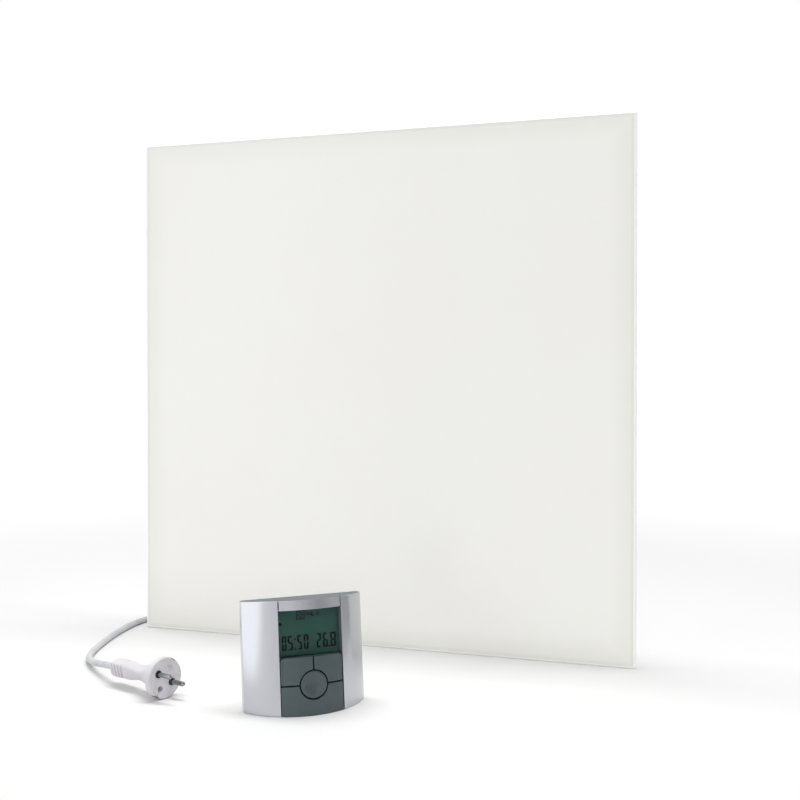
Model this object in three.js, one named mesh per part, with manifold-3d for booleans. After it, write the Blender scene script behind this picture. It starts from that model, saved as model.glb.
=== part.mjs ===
// Infrared panel heater: a white glass panel that stands upright, the wireless room thermostat
// in front of it, and the mains lead, coiled behind the glass, with its plug in front.
// Millimetres, +Z up. The origin is the middle of the glass's bottom edge, and -Y is the warm side.
import * as THREE from 'three';
import { mergeVertices } from 'three/addons/utils/BufferGeometryUtils.js';
import Module from 'manifold-3d';

const wasm = await Module();
wasm.setup();

// ---------------------------------------------------------------- clearances
const seatGap = 0.3;            // between pieces that seat on each other
const slideGap = 0.3;           // round a key's stem in its guide
const past = 5;                 // how far a cutter reaches past what it cuts

// ---------------------------------------------------------------- glass pane and heating layers
const paneWidth = 600;
const paneHeight = 600;
const paneThickness = 6;
const paneCorner = 3;
const paneBevelWidth = 2.5;
const paneBevelDepth = 1.2;
const filmThickness = 0.6;
const busbarWidth = 8;
const busbarThickness = 0.5;
const busbarEndMargin = 12;     // film left bare above and below a busbar
const boardThickness = 12;      // mineral insulation

// ---------------------------------------------------------------- rear casing
const sheet = 1.2;
const casingInset = 28;         // bare glass round the casing's flange
const flangeWidth = 10;
const casingCorner = 16;
const casingPressRadius = 3;
const swageInset = 140;         // from the tray's side to the stiffening swage
const swageWidth = 14;
const swageHeight = 1.8;
const swageCorner = 20;
const layerMargin = 2;          // between the tray's wall and the layers inside

// ---------------------------------------------------------------- wall hangers
const hangerInsetX = 100;       // from the glass's side edge to a hanger's middle
const hangerInsetLow = 220;     // from the glass's bottom edge
const hangerInsetHigh = 120;    // from the glass's top edge
const hangerSheet = 1.5;
const hangerHeight = 44;
const hangerPlateau = 36;
const hangerFoot = 14;
const hangerStandoff = 9;       // from the casing to the plateau's outer face
const keyholeRadius = 6.5;
const keyholeSlot = 6.4;
const keyholeRise = 11;
const rivetRadius = 2;
const rivetHeadRadius = 3.8;
const rivetHeadHeight = 1.4;

// ---------------------------------------------------------------- junction box
const boxWidth = 110;
const boxHeight = 70;
const boxDepth = 30;
const boxWall = 2;
const boxCorner = 7;
const boxSideMargin = 12;       // from the casing tray's side wall
const boxLowMargin = 60;        // from the casing tray's bottom wall
const lidThickness = 2.6;
const lidLip = 3;
const lidEdge = 1;
const lidScrewReach = 12;       // shank below the lid's inner face
const postRadius = 4;
const postInset = 6.5;
const screwRadius = 1.4;
const screwPilot = 1.6;
const screwHeadRadius = 2.9;
const screwHeadHeight = 1.6;
const screwRecess = 0.8;
const wireHole = 7;             // radius of the way from the box into the casing

// ---------------------------------------------------------------- parts inside the junction box
const boardLift = 4;
const pegInset = 4;             // pegs from the receiver board's edges
const receiverWidth = 44;
const receiverHeight = 40;
const receiverBoard = 1.6;
const receiverMargin = 9;       // above the box's floor wall
const receiverOffsetX = 20;
const receiverCorner = 1.5;
const relayWidth = 19;
const relayHeight = 15;
const relayDepth = 14;
const relayCorner = 0.8;
const relayEdge = 0.5;
const terminalWidth = 34;
const terminalHeight = 14;
const terminalDepth = 13;
const terminalPoles = 3;
const terminalOffsetX = 4;      // from the gland's axis
const terminalMargin = 8;       // below the box's top wall
const terminalWireRadius = 2.2;
const terminalWireDepth = 5.2;  // from the block's seat to its wires
const terminalSlotDepth = 4;    // slots between the poles
const terminalSlot = 1;
const cutoutRadius = 8;
const cutoutDepth = 6;
const cutoutTab = 5;
const cutoutReach = 7;
const cutoutRise = 1;           // the tabs' bridge above the cap
const cutoutMargin = 5;         // above the gland's thread

// ---------------------------------------------------------------- cable gland
const glandOffsetX = -30;       // from the junction box's middle
const glandThread = 7.6;
const glandThreadLength = 9;
const glandFlats = 19;
const glandHexHeight = 5;
const glandDomeRadius = 8;
const glandDomeHeight = 8;
const glandDomeLip = 0.8;       // dome's end over the relief
const glandLap = 1;             // how far the gland's turned parts reach into each other
const reliefLength = 34;
const reliefRadius = 6.2;
const reliefTip = 4.6;
const reliefRings = 6;
const reliefRingHeight = 3.2;
const reliefGroove = 0.7;
const nutHeight = 4;

// ---------------------------------------------------------------- mains lead
const cordDiameter = 7;
const cordSides = 10;
const cordStep = 2.5;           // diameters between the sections of a free stretch
const coilCentreX = -110;
const coilCentreY = 63;
const coilTurns = 5.5;
const coilPitch = 7.6;
const coilOuterRadius = 49.5;
const coilSides = 6;
const coilStepsPerTurn = 24;
const coilClimb = 0.5;          // turns in which it climbs to the upper layer
const tieThickness = 1.2;
const tieWidth = 9;
const tieAngle = 60;            // degrees round the coil
const tieSlack = 1;
const tieCorner = 3;
// hand-laid routes; z is above the floor that everything stands on
const leadRoute = [
  [-225, 33.8, 50.4], [-225, 33.8, 43], [-224.9, 33.8, 36], [-223.1, 33.1, 26.7], [-217.8, 31, 16.8],
  [-209.6, 27.7, 9.4], [-199.6, 23.9, 5.6], [-190, 20.4, 5], [-178, 17, 5], [-164, 14.7, 5],
  [-145, 13.6, 5], [-124.5, 13.5, 5], [-117.3, 13.5, 5],
];
const runRoute = [
  [-117.3, 112.5, 12.6], [-125, 112.5, 12.6], [-142, 112.5, 12.2], [-160, 112.4, 10.4], [-178, 112, 7.6],
  [-197, 111, 5], [-217, 109, 3.7], [-238, 105, 3.6], [-258, 98, 3.6], [-277, 86.5, 3.6],
  [-293, 71, 3.6], [-304.5, 53, 3.6], [-311.5, 36, 3.6], [-315.5, 19, 3.6], [-317.2, 1, 3.6],
  [-316.2, -22, 3.6], [-311.6, -52, 3.6], [-304.4, -84, 3.6], [-296.5, -112, 3.6], [-289.2, -134, 3.6],
  [-281.5, -151, 3.9], [-271.5, -166.5, 5], [-259.5, -180, 6.9], [-246, -192, 9.4], [-232, -203, 12.2],
  [-220.5, -211.5, 14.7], [-209.3, -219.8, 16.9], [-202.5, -223.1, 17.6],
];

// ---------------------------------------------------------------- plug
const plugFace = [-126.6, -252.3, 20.4];  // middle of the plug's face
const plugAzimuth = -21;        // degrees from +X, the way the pins point
const plugTilt = 2;             // degrees, pins up
const plugRoll = 147;           // degrees about its axis, from level to the first pin
const plugGripRoll = 15;        // degrees between the grip's flat top and level
const plugRadius = 20.2;
const plugRim = 6.5;
const plugLength = 81;
const plugNeckLength = 49;      // from the cord's end to where the body flares
const gripLength = 23;
const gripWidth = 15.5;
const gripGrooves = 4;
const gripGrooveDepth = 1.3;
const neckWidth = 12.6;
const plugEntryWall = 1.4;      // round the cord, where it goes in
const plugEdge = 1;             // edge of the face and of the grip's end
const gripTaper = 0.8;          // first rib's sides, drawn in
const gripShoulder = 5;         // from the last rib to where the grip starts to narrow
const gripToNeck = 11;          // from the last rib to the slim neck
const flareStart = 4;           // slim neck before the flare
const flareBack = 0.6;          // end of the flare behind the rim
const flareInset = 1.2;         // end of the flare inside the rim
const flareBend = 2.2;          // how late the flare opens
const gripSquareness = 4;       // 2 is round, and more is squarer
const shoulderSquareness = 3.6;
const neckSquareness = 2.6;
const keySlotWidth = 1;
const keySlotDepth = 1.2;
const pinRadius = 2.4;
const pinLength = 19;
const pinSpacing = 19;
const pinShank = 9;
const collarRadius = 3.5;
const collarHeight = 0.9;
const collarSunk = 1;           // depth of its bed in the face
const collarEdge = 0.4;
const earthHoleRadius = 2.9;
const earthHoleOffset = 11.5;
const earthHoleDepth = 14;
const earthSleeveWall = 0.4;
const earthSleeveSunk = 0.8;    // behind the face
const dimpleRadius = 3;
const dimpleDepth = 1;
const clipWidth = 6;
const clipThickness = 0.8;
const clipLength = 5;
const clipSunk = 0.4;           // behind the face

// ---------------------------------------------------------------- thermostat case
const caseWidth = 120;
const caseHeight = 102.5;
const caseSide = 9;             // depth of the straight side walls
const caseBow = 32;             // how far the front bows out beyond them
const caseWall = 2.2;
const caseEdge = 1;
const caseX = 6.5;
const caseY = -222.3;
const caseTurn = 40.5;          // degrees, front turned towards +X
const caseLean = 7;             // degrees, top leaning back
const backDepth = 8;            // depth of the back shell
const channelHalf = 31.2;       // half the width of the display and key column
const channelRib = 1.5;
const grooveWidth = 0.9;
const grooveDepth = 1.2;
const windowDrop = 9.7;         // from the case's top to the display window
const keyTop = 49;
const keyLine = 23.3;           // height of the button's centre and of the line below the two keys
const keySideGap = 0.7;
const keyLineGap = 1.1;
const keyCap = 3;
const keySink = 0.2;            // keys lie this much below the case's front
const keyTravel = 1;
const keyCornerRadius = 4;
const keyInnerRadius = 0.6;
const buttonRadius = 12.8;
const buttonRimWidth = 4;
const buttonDish = 2.4;
const stemWidth = 8;
const stemCollar = 1.5;
const stemCollarHeight = 1.5;
const stemX = 18;
const stemZ = 37;
const buttonProud = 0.6;        // rim in front of the keys round it
const buttonSkirt = 2.5;        // skirt behind the keys' skin
const buttonEdge = 1.2;         // round outer edge of the rim
const dishLip = 0.35;
const dishSteps = 5;
const glassThickness = 1.5;
const glassDepth = 24.8;        // from the back plane to the display glass
const glassMargin = 2.2;
const displaySideMargin = 1.4;  // from the window's sides to the display
const displayEndMargin = 1.2;   // from the window's top and bottom to the display
const displayThickness = 3.6;
const displayLeg = 3;           // square legs between the display and the board
const boardDepth = 14.5;
const boardSheet = 1.6;
const boardSideMargin = 6.8;    // how far the board reaches past the key column
const boardBottom = 8;
const boardDrop = 5.5;          // from the case's top to the board
const switchHeight = 1.2;
const switchWidth = 6;
const carrierSheet = 2;
const carrierShelf = 1.2;
const carrierLeg = 2.2;         // radius
const carrierLegInset = 4;      // from the carrier's side edges
const carrierLegLow = 6;        // above the board's bottom edge
const carrierLegHigh = 8;       // below the carrier's shelf
const pillarRadius = 2.4;
const pillarInset = 4;          // from the board's side edges
const pillarEnd = 5;            // from the board's top and bottom edges
const batteryRadius = 5.25;
const batteryLength = 44.5;
const batteryTip = 1;
const batteryTipRadius = 1.9;
const batteryPitch = 12;
const batteryLowZ = 17;
const cradleWall = 1.5;
const cradleShelf = 3;          // how far the shelf under the cells stands off the back wall
const cradleRise = 1;           // the cradle's ends in front of the cells' middle
const doorHookX = 14;           // the door's two hooks from its middle
const doorHookWidth = 6;
const doorHookReach = 2.4;      // behind the case's wall, beyond the opening
const doorHookRoot = 1.1;       // hooks and catch on the door's inner face
const doorHookThickness = 1;
const doorCatchWidth = 12;
const doorNotchWidth = 12;      // finger notch at the door's top edge
const doorNotchHeight = 1.6;
const doorNotchDepth = 0.8;
const caseScrewInset = 13;      // from the case's side walls
const caseScrewLowZ = 14;
const caseScrewDrop = 14.5;     // from the case's top
const caseScrewReach = 6;       // shank in front of the back shell
const bossRadius = 3.6;

// ================================================================ helpers
const rad = (degrees) => THREE.MathUtils.degToRad(degrees);

// A closed three.js geometry as a solid that can be joined and cut.
function solid(geometry) {
  const bare = geometry.index ? geometry.toNonIndexed() : geometry.clone();
  bare.deleteAttribute('normal');
  bare.deleteAttribute('uv');
  const merged = mergeVertices(bare, 1e-4);
  const points = new Float32Array(merged.attributes.position.array);
  const triangles = [];
  let volume = 0;
  const corner = [new THREE.Vector3(), new THREE.Vector3(), new THREE.Vector3()];
  for (let i = 0; i < merged.index.count; i += 3) {
    const [a, b, c] = [0, 1, 2].map((k) => merged.index.getX(i + k));
    if (a === b || b === c || c === a) continue;
    [a, b, c].forEach((v, k) => corner[k].fromArray(points, v * 3));
    volume += corner[0].dot(corner[1].clone().cross(corner[2]));
    triangles.push(a, b, c);
  }
  if (volume < 0) {
    for (let i = 0; i < triangles.length; i += 3) {
      [triangles[i], triangles[i + 1]] = [triangles[i + 1], triangles[i]];
    }
  }
  const mesh = new wasm.Mesh({
    numProp: 3,
    vertProperties: points,
    triVerts: new Uint32Array(triangles),
  });
  return new wasm.Manifold(mesh);
}

function block(x0, x1, y0, y1, z0, z1) {
  const geometry = new THREE.BoxGeometry(x1 - x0, y1 - y0, z1 - z0);
  return solid(geometry.translate((x0 + x1) / 2, (y0 + y1) / 2, (z0 + z1) / 2));
}

function roundedRect(width, height, radius, centreX = 0, centreZ = 0) {
  const x0 = centreX - width / 2;
  const x1 = centreX + width / 2;
  const z0 = centreZ - height / 2;
  const z1 = centreZ + height / 2;
  const shape = new THREE.Shape();
  shape.moveTo(x0 + radius, z0);
  shape.lineTo(x1 - radius, z0);
  shape.absarc(x1 - radius, z0 + radius, radius, -Math.PI / 2, 0, false);
  shape.lineTo(x1, z1 - radius);
  shape.absarc(x1 - radius, z1 - radius, radius, 0, Math.PI / 2, false);
  shape.lineTo(x0 + radius, z1);
  shape.absarc(x0 + radius, z1 - radius, radius, Math.PI / 2, Math.PI, false);
  shape.lineTo(x0, z0 + radius);
  shape.absarc(x0 + radius, z0 + radius, radius, Math.PI, 1.5 * Math.PI, false);
  return shape;
}

// A shape drawn in X and Z, made solid from y0 to y1, with its edges broken by bevel.
function plate(shape, y0, y1, bevel = 0, bevelWidth = bevel, segments = 1, curve = 2) {
  const geometry = new THREE.ExtrudeGeometry(shape, {
    depth: y1 - y0 - 2 * bevel,
    steps: 1,
    curveSegments: curve,
    bevelEnabled: bevel > 0,
    bevelThickness: bevel,
    bevelSize: bevelWidth,
    bevelOffset: -bevelWidth,
    bevelSegments: segments,
  });
  return solid(geometry.rotateX(Math.PI / 2).translate(0, y1 - bevel, 0));
}

// A plan drawn in X and Y, made solid from z0 to z1.
function tower(shape, z0, z1, bevel = 0, curve = 14) {
  const geometry = new THREE.ExtrudeGeometry(shape, {
    depth: z1 - z0 - 2 * bevel,
    steps: 1,
    curveSegments: curve,
    bevelEnabled: bevel > 0,
    bevelThickness: bevel,
    bevelSize: bevel,
    bevelOffset: -bevel,
    bevelSegments: 2,
  });
  return solid(geometry.translate(0, 0, z0 + bevel));
}

// A profile of [radius, height] pairs turned about Z; it starts and ends on the axis.
function turned(profile, slices = 24) {
  const points = profile.map(([r, h]) => new THREE.Vector2(r, h));
  return solid(new THREE.LatheGeometry(points, slices).rotateX(Math.PI / 2));
}

// A round bar or a round cutter along Y.
function barY(radius, y0, y1, x, z, slices = 24) {
  const geometry = new THREE.CylinderGeometry(radius, radius, y1 - y0, slices);
  return solid(geometry.translate(x, (y0 + y1) / 2, 0).translate(0, 0, z));
}

function barZ(radius, z0, z1, x, y, slices = 24) {
  const geometry = new THREE.CylinderGeometry(radius, radius, z1 - z0, slices).rotateX(Math.PI / 2);
  return solid(geometry.translate(x, y, (z0 + z1) / 2));
}

// A turned profile laid along -Y, so that its heights run outwards from the plane y = 0.
function knobOut(profile, x, z, slices = 32) {
  const points = profile.map(([r, d]) => new THREE.Vector2(r, -d));
  return solid(new THREE.LatheGeometry(points, slices).translate(x, 0, z));
}

// Rings with equal numbers of points, joined into one closed skin.
function loft(rings) {
  const count = rings[0].length;
  const positions = rings.flat().flatMap((p) => [p.x, p.y, p.z]);
  const index = [];
  for (let r = 0; r < rings.length - 1; r += 1) {
    for (let i = 0; i < count; i += 1) {
      const a = r * count + i;
      const b = r * count + ((i + 1) % count);
      index.push(a, b, b + count, a, b + count, a + count);
    }
  }
  for (let i = 1; i < count - 1; i += 1) {
    const last = (rings.length - 1) * count;
    index.push(0, i + 1, i);
    index.push(last, last + i, last + i + 1);
  }
  const geometry = new THREE.BufferGeometry();
  geometry.setAttribute('position', new THREE.Float32BufferAttribute(positions, 3));
  geometry.setIndex(index);
  return solid(geometry);
}

function joined(solids) {
  return solids.reduce((whole, piece) => whole.add(piece));
}

const glassWhite = { color: 0xeeede8, roughness: 0.08, metalness: 0 };
const filmBlack = { color: 0x2b2b2d, roughness: 0.6, metalness: 0 };
const copper = { color: 0xb4703f, roughness: 0.35, metalness: 1 };
const mineral = { color: 0xd9d2bd, roughness: 0.95, metalness: 0 };
const whiteEnamel = { color: 0xe6e6e3, roughness: 0.45, metalness: 0 };
const zinc = { color: 0xb9bcc0, roughness: 0.38, metalness: 1 };
const whitePlastic = { color: 0xe9e9e7, roughness: 0.45, metalness: 0 };
const blackPlastic = { color: 0x1c1d1f, roughness: 0.5, metalness: 0 };
const boardGreen = { color: 0x2f5d3a, roughness: 0.5, metalness: 0 };
const silverPaint = { color: 0xb3b7c2, roughness: 0.3, metalness: 0.35 };
const keyGrey = { color: 0x5a666c, roughness: 0.42, metalness: 0 };
const displayTeal = { color: 0x34524b, roughness: 0.3, metalness: 0 };
const clearGlaze = { color: 0x3a5850, roughness: 0.06, metalness: 0 };
const cellGrey = { color: 0x8d9196, roughness: 0.35, metalness: 0.8 };
const cordGrey = { color: 0xd2d3d6, roughness: 0.5, metalness: 0 };
const plugGrey = { color: 0xcdccd2, roughness: 0.45, metalness: 0 };
const nickel = { color: 0xb8babd, roughness: 0.22, metalness: 1 };

function named(name, piece, look) {
  const { vertProperties, triVerts, numProp } = piece.getMesh();
  const positions = new Float32Array((vertProperties.length / numProp) * 3);
  for (let i = 0; i < positions.length / 3; i += 1) {
    for (let k = 0; k < 3; k += 1) positions[i * 3 + k] = vertProperties[i * numProp + k];
  }
  const geometry = new THREE.BufferGeometry();
  geometry.setAttribute('position', new THREE.BufferAttribute(positions, 3));
  geometry.setIndex(Array.from(triVerts));
  geometry.computeVertexNormals();
  const mesh = new THREE.Mesh(geometry, new THREE.MeshStandardMaterial(look));
  mesh.name = name;
  return mesh;
}

const heater = new THREE.Group();

// ================================================================ glass pane and heating layers
const paneMiddleZ = paneHeight / 2;
const paneBackY = paneThickness / 2;
const trayInset = casingInset + flangeWidth;
const trayWidth = paneWidth - 2 * trayInset;
const trayHeight = paneHeight - 2 * trayInset;
const filmFrontY = paneBackY + seatGap;
const filmBackY = filmFrontY + filmThickness;
const filmWidth = trayWidth - 2 * (sheet + layerMargin);
const filmHeight = trayHeight - 2 * (sheet + layerMargin);
const busbarFrontY = filmBackY + seatGap;
const busbarBackY = busbarFrontY + busbarThickness;
const boardFrontY = busbarBackY + seatGap;
const boardBackY = boardFrontY + boardThickness;
const casingInnerY = boardBackY + seatGap;
const casingBackY = casingInnerY + sheet;

function glassPane() {
  const outline = roundedRect(paneWidth, paneHeight, paneCorner, 0, paneMiddleZ);
  return plate(outline, -paneBackY, paneBackY, paneBevelDepth, paneBevelWidth);
}

function heatingFilm() {
  const outline = roundedRect(filmWidth, filmHeight, casingCorner - sheet, 0, paneMiddleZ);
  return plate(outline, filmFrontY, filmBackY);
}

function busbar(side) {
  const x = side * (filmWidth / 2 - busbarWidth);
  const half = filmHeight / 2 - busbarEndMargin;
  const z0 = paneMiddleZ - half;
  const z1 = paneMiddleZ + half;
  return block(x - busbarWidth / 2, x + busbarWidth / 2, busbarFrontY, busbarBackY, z0, z1);
}

function insulationBoard() {
  const corner = casingCorner - sheet;
  const outline = roundedRect(filmWidth, filmHeight, corner, 0, paneMiddleZ);
  return plate(outline, boardFrontY, boardBackY);
}

heater.add(named('glass_pane', glassPane(), glassWhite));
heater.add(named('heating_film', heatingFilm(), filmBlack));
heater.add(named('busbar_left', busbar(-1), copper));
heater.add(named('busbar_right', busbar(1), copper));
heater.add(named('insulation_board', insulationBoard(), mineral));

// ================================================================ rear casing
const boxCentreX = -(trayWidth / 2 - boxSideMargin - boxWidth / 2);
const boxBottomZ = trayInset + boxLowMargin;
const boxMiddleZ = boxBottomZ + boxHeight / 2;
const hangerPlaces = [];
for (const z of [paneHeight - hangerInsetHigh, hangerInsetLow]) {
  for (const side of [-1, 1]) hangerPlaces.push([side * (paneWidth / 2 - hangerInsetX), z]);
}
const footReach = hangerPlateau / 2 + hangerFoot / 2;

// A pressed tray: a rounded outline with its rear edge rounded over, open towards the glass.
function pressing(inset, backY) {
  const shrink = 2 * inset;
  const outline = roundedRect(trayWidth - shrink, trayHeight - shrink, casingCorner - inset, 0, paneMiddleZ);
  const round = casingPressRadius - inset;
  const deep = plate(outline, paneBackY - past, backY, round, round, 3);
  const reach = paneWidth;
  return deep.subtract(block(-reach, reach, -past, filmFrontY, -past, paneHeight + past));
}

function swage(inset, y0, y1) {
  const width = trayWidth - 2 * (swageInset + inset);
  const height = trayHeight - 2 * (swageInset + inset);
  const hole = 2 * (swageWidth - 2 * inset);
  const ring = plate(roundedRect(width, height, swageCorner - inset, 0, paneMiddleZ), y0, y1);
  const middle = roundedRect(width - hole, height - hole, swageCorner - swageWidth + inset, 0, paneMiddleZ);
  return ring.subtract(plate(middle, y0 - past, y1 + past));
}

function rearCasing() {
  const flange = plate(
    roundedRect(trayWidth + 2 * flangeWidth, trayHeight + 2 * flangeWidth, casingCorner, 0, paneMiddleZ),
    filmFrontY,
    filmFrontY + sheet,
  );
  let casing = joined([flange, pressing(0, casingBackY), swage(0, casingInnerY, casingBackY + swageHeight)]);
  casing = casing.subtract(pressing(sheet, casingInnerY));
  const openWidth = trayWidth - 2 * sheet;
  const openHeight = trayHeight - 2 * sheet;
  const opening = roundedRect(openWidth, openHeight, casingCorner - sheet, 0, paneMiddleZ);
  casing = casing.subtract(plate(opening, filmFrontY - past, filmFrontY + 2 * sheet));
  casing = casing.subtract(swage(sheet, casingInnerY - past, casingBackY + swageHeight - sheet));
  casing = casing.subtract(barY(wireHole, casingInnerY - past, casingBackY + past, boxCentreX, boxMiddleZ));
  for (const [x, z] of hangerPlaces) {
    for (const side of [-1, 1]) {
      const hole = rivetRadius + slideGap;
      const holeX = x + side * footReach;
      casing = casing.subtract(barY(hole, casingInnerY - past, casingBackY + past, holeX, z, 12));
    }
  }
  return casing;
}

heater.add(named('rear_casing', rearCasing(), whiteEnamel));

// ================================================================ wall hangers
const hangerBackY = casingBackY + seatGap;
const hangerFaceY = hangerBackY + hangerStandoff;

function hanger(x, z) {
  const half = hangerPlateau / 2;
  const foot = half + hangerFoot;
  const profile = new THREE.Shape();
  profile.moveTo(-foot, 0);
  profile.lineTo(-half + hangerSheet, 0);
  profile.lineTo(-half + hangerSheet, hangerStandoff - hangerSheet);
  profile.lineTo(half - hangerSheet, hangerStandoff - hangerSheet);
  profile.lineTo(half - hangerSheet, 0);
  profile.lineTo(foot, 0);
  profile.lineTo(foot, hangerSheet);
  profile.lineTo(half, hangerSheet);
  profile.lineTo(half, hangerStandoff);
  profile.lineTo(-half, hangerStandoff);
  profile.lineTo(-half, hangerSheet);
  profile.lineTo(-foot, hangerSheet);
  const strip = tower(profile, z - hangerHeight / 2, z + hangerHeight / 2).translate([x, hangerBackY, 0]);
  const y0 = hangerFaceY - hangerSheet - past;
  const y1 = hangerFaceY + past;
  const holeZ = z - keyholeRise / 2;
  const slotTop = holeZ + keyholeRise;
  const cuts = [
    barY(keyholeRadius, y0, y1, x, holeZ, 20),
    block(x - keyholeSlot / 2, x + keyholeSlot / 2, y0, y1, holeZ, slotTop),
    barY(keyholeSlot / 2, y0, y1, x, slotTop, 16),
  ];
  for (const side of [-1, 1]) {
    const hole = rivetRadius + slideGap;
    cuts.push(barY(hole, hangerBackY - past, hangerBackY + hangerSheet + past, x + side * footReach, z, 12));
  }
  return cuts.reduce((rest, cut) => rest.subtract(cut), strip);
}

function rivet(x, z) {
  const foot = casingInnerY + sheet / 4;
  const seat = hangerBackY + hangerSheet + seatGap;
  const shank = barY(rivetRadius, foot, seat + rivetHeadHeight / 2, x, z, 12);
  const dome = new THREE.LatheGeometry([
    new THREE.Vector2(0, seat),
    new THREE.Vector2(rivetHeadRadius, seat),
    new THREE.Vector2(rivetHeadRadius * 0.75, seat + rivetHeadHeight * 0.75),
    new THREE.Vector2(0, seat + rivetHeadHeight),
  ], 12);
  return shank.add(solid(dome.translate(x, 0, z)));
}

hangerPlaces.forEach(([x, z], place) => {
  heater.add(named(`hanger_${place + 1}`, hanger(x, z), zinc));
  [-1, 1].forEach((side, end) => {
    heater.add(named(`hanger_rivet_${place * 2 + end + 1}`, rivet(x + side * footReach, z), zinc));
  });
});

// ================================================================ junction box
const boxFloorY = casingBackY + seatGap;
const boxRimY = boxFloorY + boxDepth;
const boxInsideY = boxFloorY + boxWall;
const lidFloorY = boxRimY + seatGap;
const lidFaceY = lidFloorY + lidThickness;
const glandX = boxCentreX + glandOffsetX;
const glandY = boxFloorY + boxDepth / 2;
const boxPosts = [];
for (const dz of [-1, 1]) {
  for (const dx of [-1, 1]) {
    boxPosts.push([
      boxCentreX + dx * (boxWidth / 2 - postInset),
      boxMiddleZ + dz * (boxHeight / 2 - postInset),
    ]);
  }
}
const receiverX = boxCentreX + receiverOffsetX;
const receiverZ = boxBottomZ + boxWall + receiverMargin + receiverHeight / 2;
const receiverPegs = [];
for (const dz of [-1, 1]) {
  for (const dx of [-1, 1]) {
    receiverPegs.push([
      receiverX + dx * (receiverWidth / 2 - pegInset),
      receiverZ + dz * (receiverHeight / 2 - pegInset),
    ]);
  }
}

function boxOutline(inset) {
  return roundedRect(boxWidth - 2 * inset, boxHeight - 2 * inset, boxCorner - inset, boxCentreX, boxMiddleZ);
}

function junctionBox() {
  let box = plate(boxOutline(0), boxFloorY, boxRimY);
  box = box.subtract(plate(boxOutline(boxWall), boxInsideY, boxRimY + past));
  for (const [x, z] of boxPosts) {
    box = box.add(barY(postRadius, boxFloorY + boxWall / 2, boxRimY - seatGap, x, z, 16).intersect(
      plate(boxOutline(boxWall / 2), boxFloorY, boxRimY),
    ));
    box = box.subtract(barY(screwPilot, boxInsideY + boxWall, boxRimY + past, x, z, 12));
  }
  for (const [x, z] of receiverPegs) {
    box = box.add(barY(pillarRadius, boxFloorY + boxWall / 2, boxInsideY + boardLift, x, z, 12));
  }
  box = box.subtract(barY(wireHole, boxFloorY - past, boxInsideY + past, boxCentreX, boxMiddleZ));
  const wallTop = boxBottomZ + boxWall;
  return box.subtract(barZ(glandThread + seatGap, boxBottomZ - past, wallTop + past / 2, glandX, glandY));
}

function junctionBoxLid() {
  const face = plate(boxOutline(0), lidFloorY - lidEdge, lidFaceY, lidEdge);
  let lid = face.subtract(block(-paneWidth, paneWidth, lidFloorY - past, lidFloorY, 0, paneHeight));
  const lip = plate(boxOutline(boxWall + seatGap), lidFloorY - lidLip, lidFloorY + lidEdge);
  const inside = plate(boxOutline(2 * boxWall + seatGap), lidFloorY - lidLip - past, lidFloorY);
  let ring = lip.subtract(inside);
  for (const [x, z] of boxPosts) {
    ring = ring.subtract(barY(postRadius + 2 * seatGap, lidFloorY - lidLip - past, lidFloorY, x, z, 16));
    const outX = Math.sign(x - boxCentreX) * past;
    const outZ = Math.sign(z - boxMiddleZ) * past;
    const [x0, x1] = [x, x + 2 * outX].sort((a, b) => a - b);
    const [z0, z1] = [z, z + 2 * outZ].sort((a, b) => a - b);
    ring = ring.subtract(block(x0, x1, lidFloorY - lidLip - past, lidFloorY, z0, z1));
  }
  lid = lid.add(ring);
  for (const [x, z] of boxPosts) {
    lid = lid.subtract(barY(screwRadius + seatGap, lidFloorY - past, lidFaceY + past, x, z, 12));
    const sunk = lidFaceY - screwHeadHeight;
    lid = lid.subtract(barY(screwHeadRadius + seatGap, sunk, lidFaceY + past, x, z, 16));
  }
  return lid;
}

// A screw driven towards -Y: its head seats at headY and its shank ends at reachY.
function panHeadScrew(x, z, headY, reachY) {
  const seat = headY + seatGap / 2;
  const top = seat + screwHeadHeight;
  const head = barY(screwHeadRadius, seat, top, x, z, 16);
  const shank = barY(screwRadius, reachY, seat + screwHeadHeight / 2, x, z, 12);
  const cross = screwHeadRadius * 0.65;
  const arm = screwRecess / 2;
  const recess = joined([
    block(x - cross, x + cross, top - screwHeadHeight / 2, top + past, z - arm, z + arm),
    block(x - arm, x + arm, top - screwHeadHeight / 2, top + past, z - cross, z + cross),
  ]);
  return head.add(shank).subtract(recess);
}

heater.add(named('junction_box', junctionBox(), whitePlastic));
heater.add(named('junction_box_lid', junctionBoxLid(), whitePlastic));
boxPosts.forEach(([x, z], place) => {
  const seat = lidFaceY - screwHeadHeight;
  heater.add(named(`lid_screw_${place + 1}`, panHeadScrew(x, z, seat, lidFloorY - lidScrewReach), zinc));
});

// ================================================================ parts inside the junction box
function receiverBoardPlate() {
  const y0 = boxInsideY + boardLift + seatGap;
  const outline = roundedRect(receiverWidth, receiverHeight, receiverCorner, receiverX, receiverZ);
  return plate(outline, y0, y0 + receiverBoard);
}

function relay() {
  const y0 = boxInsideY + boardLift + receiverBoard + 2 * seatGap;
  const outline = roundedRect(relayWidth, relayHeight, relayCorner, receiverX, receiverZ);
  return plate(outline, y0, y0 + relayDepth, relayEdge);
}

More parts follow.
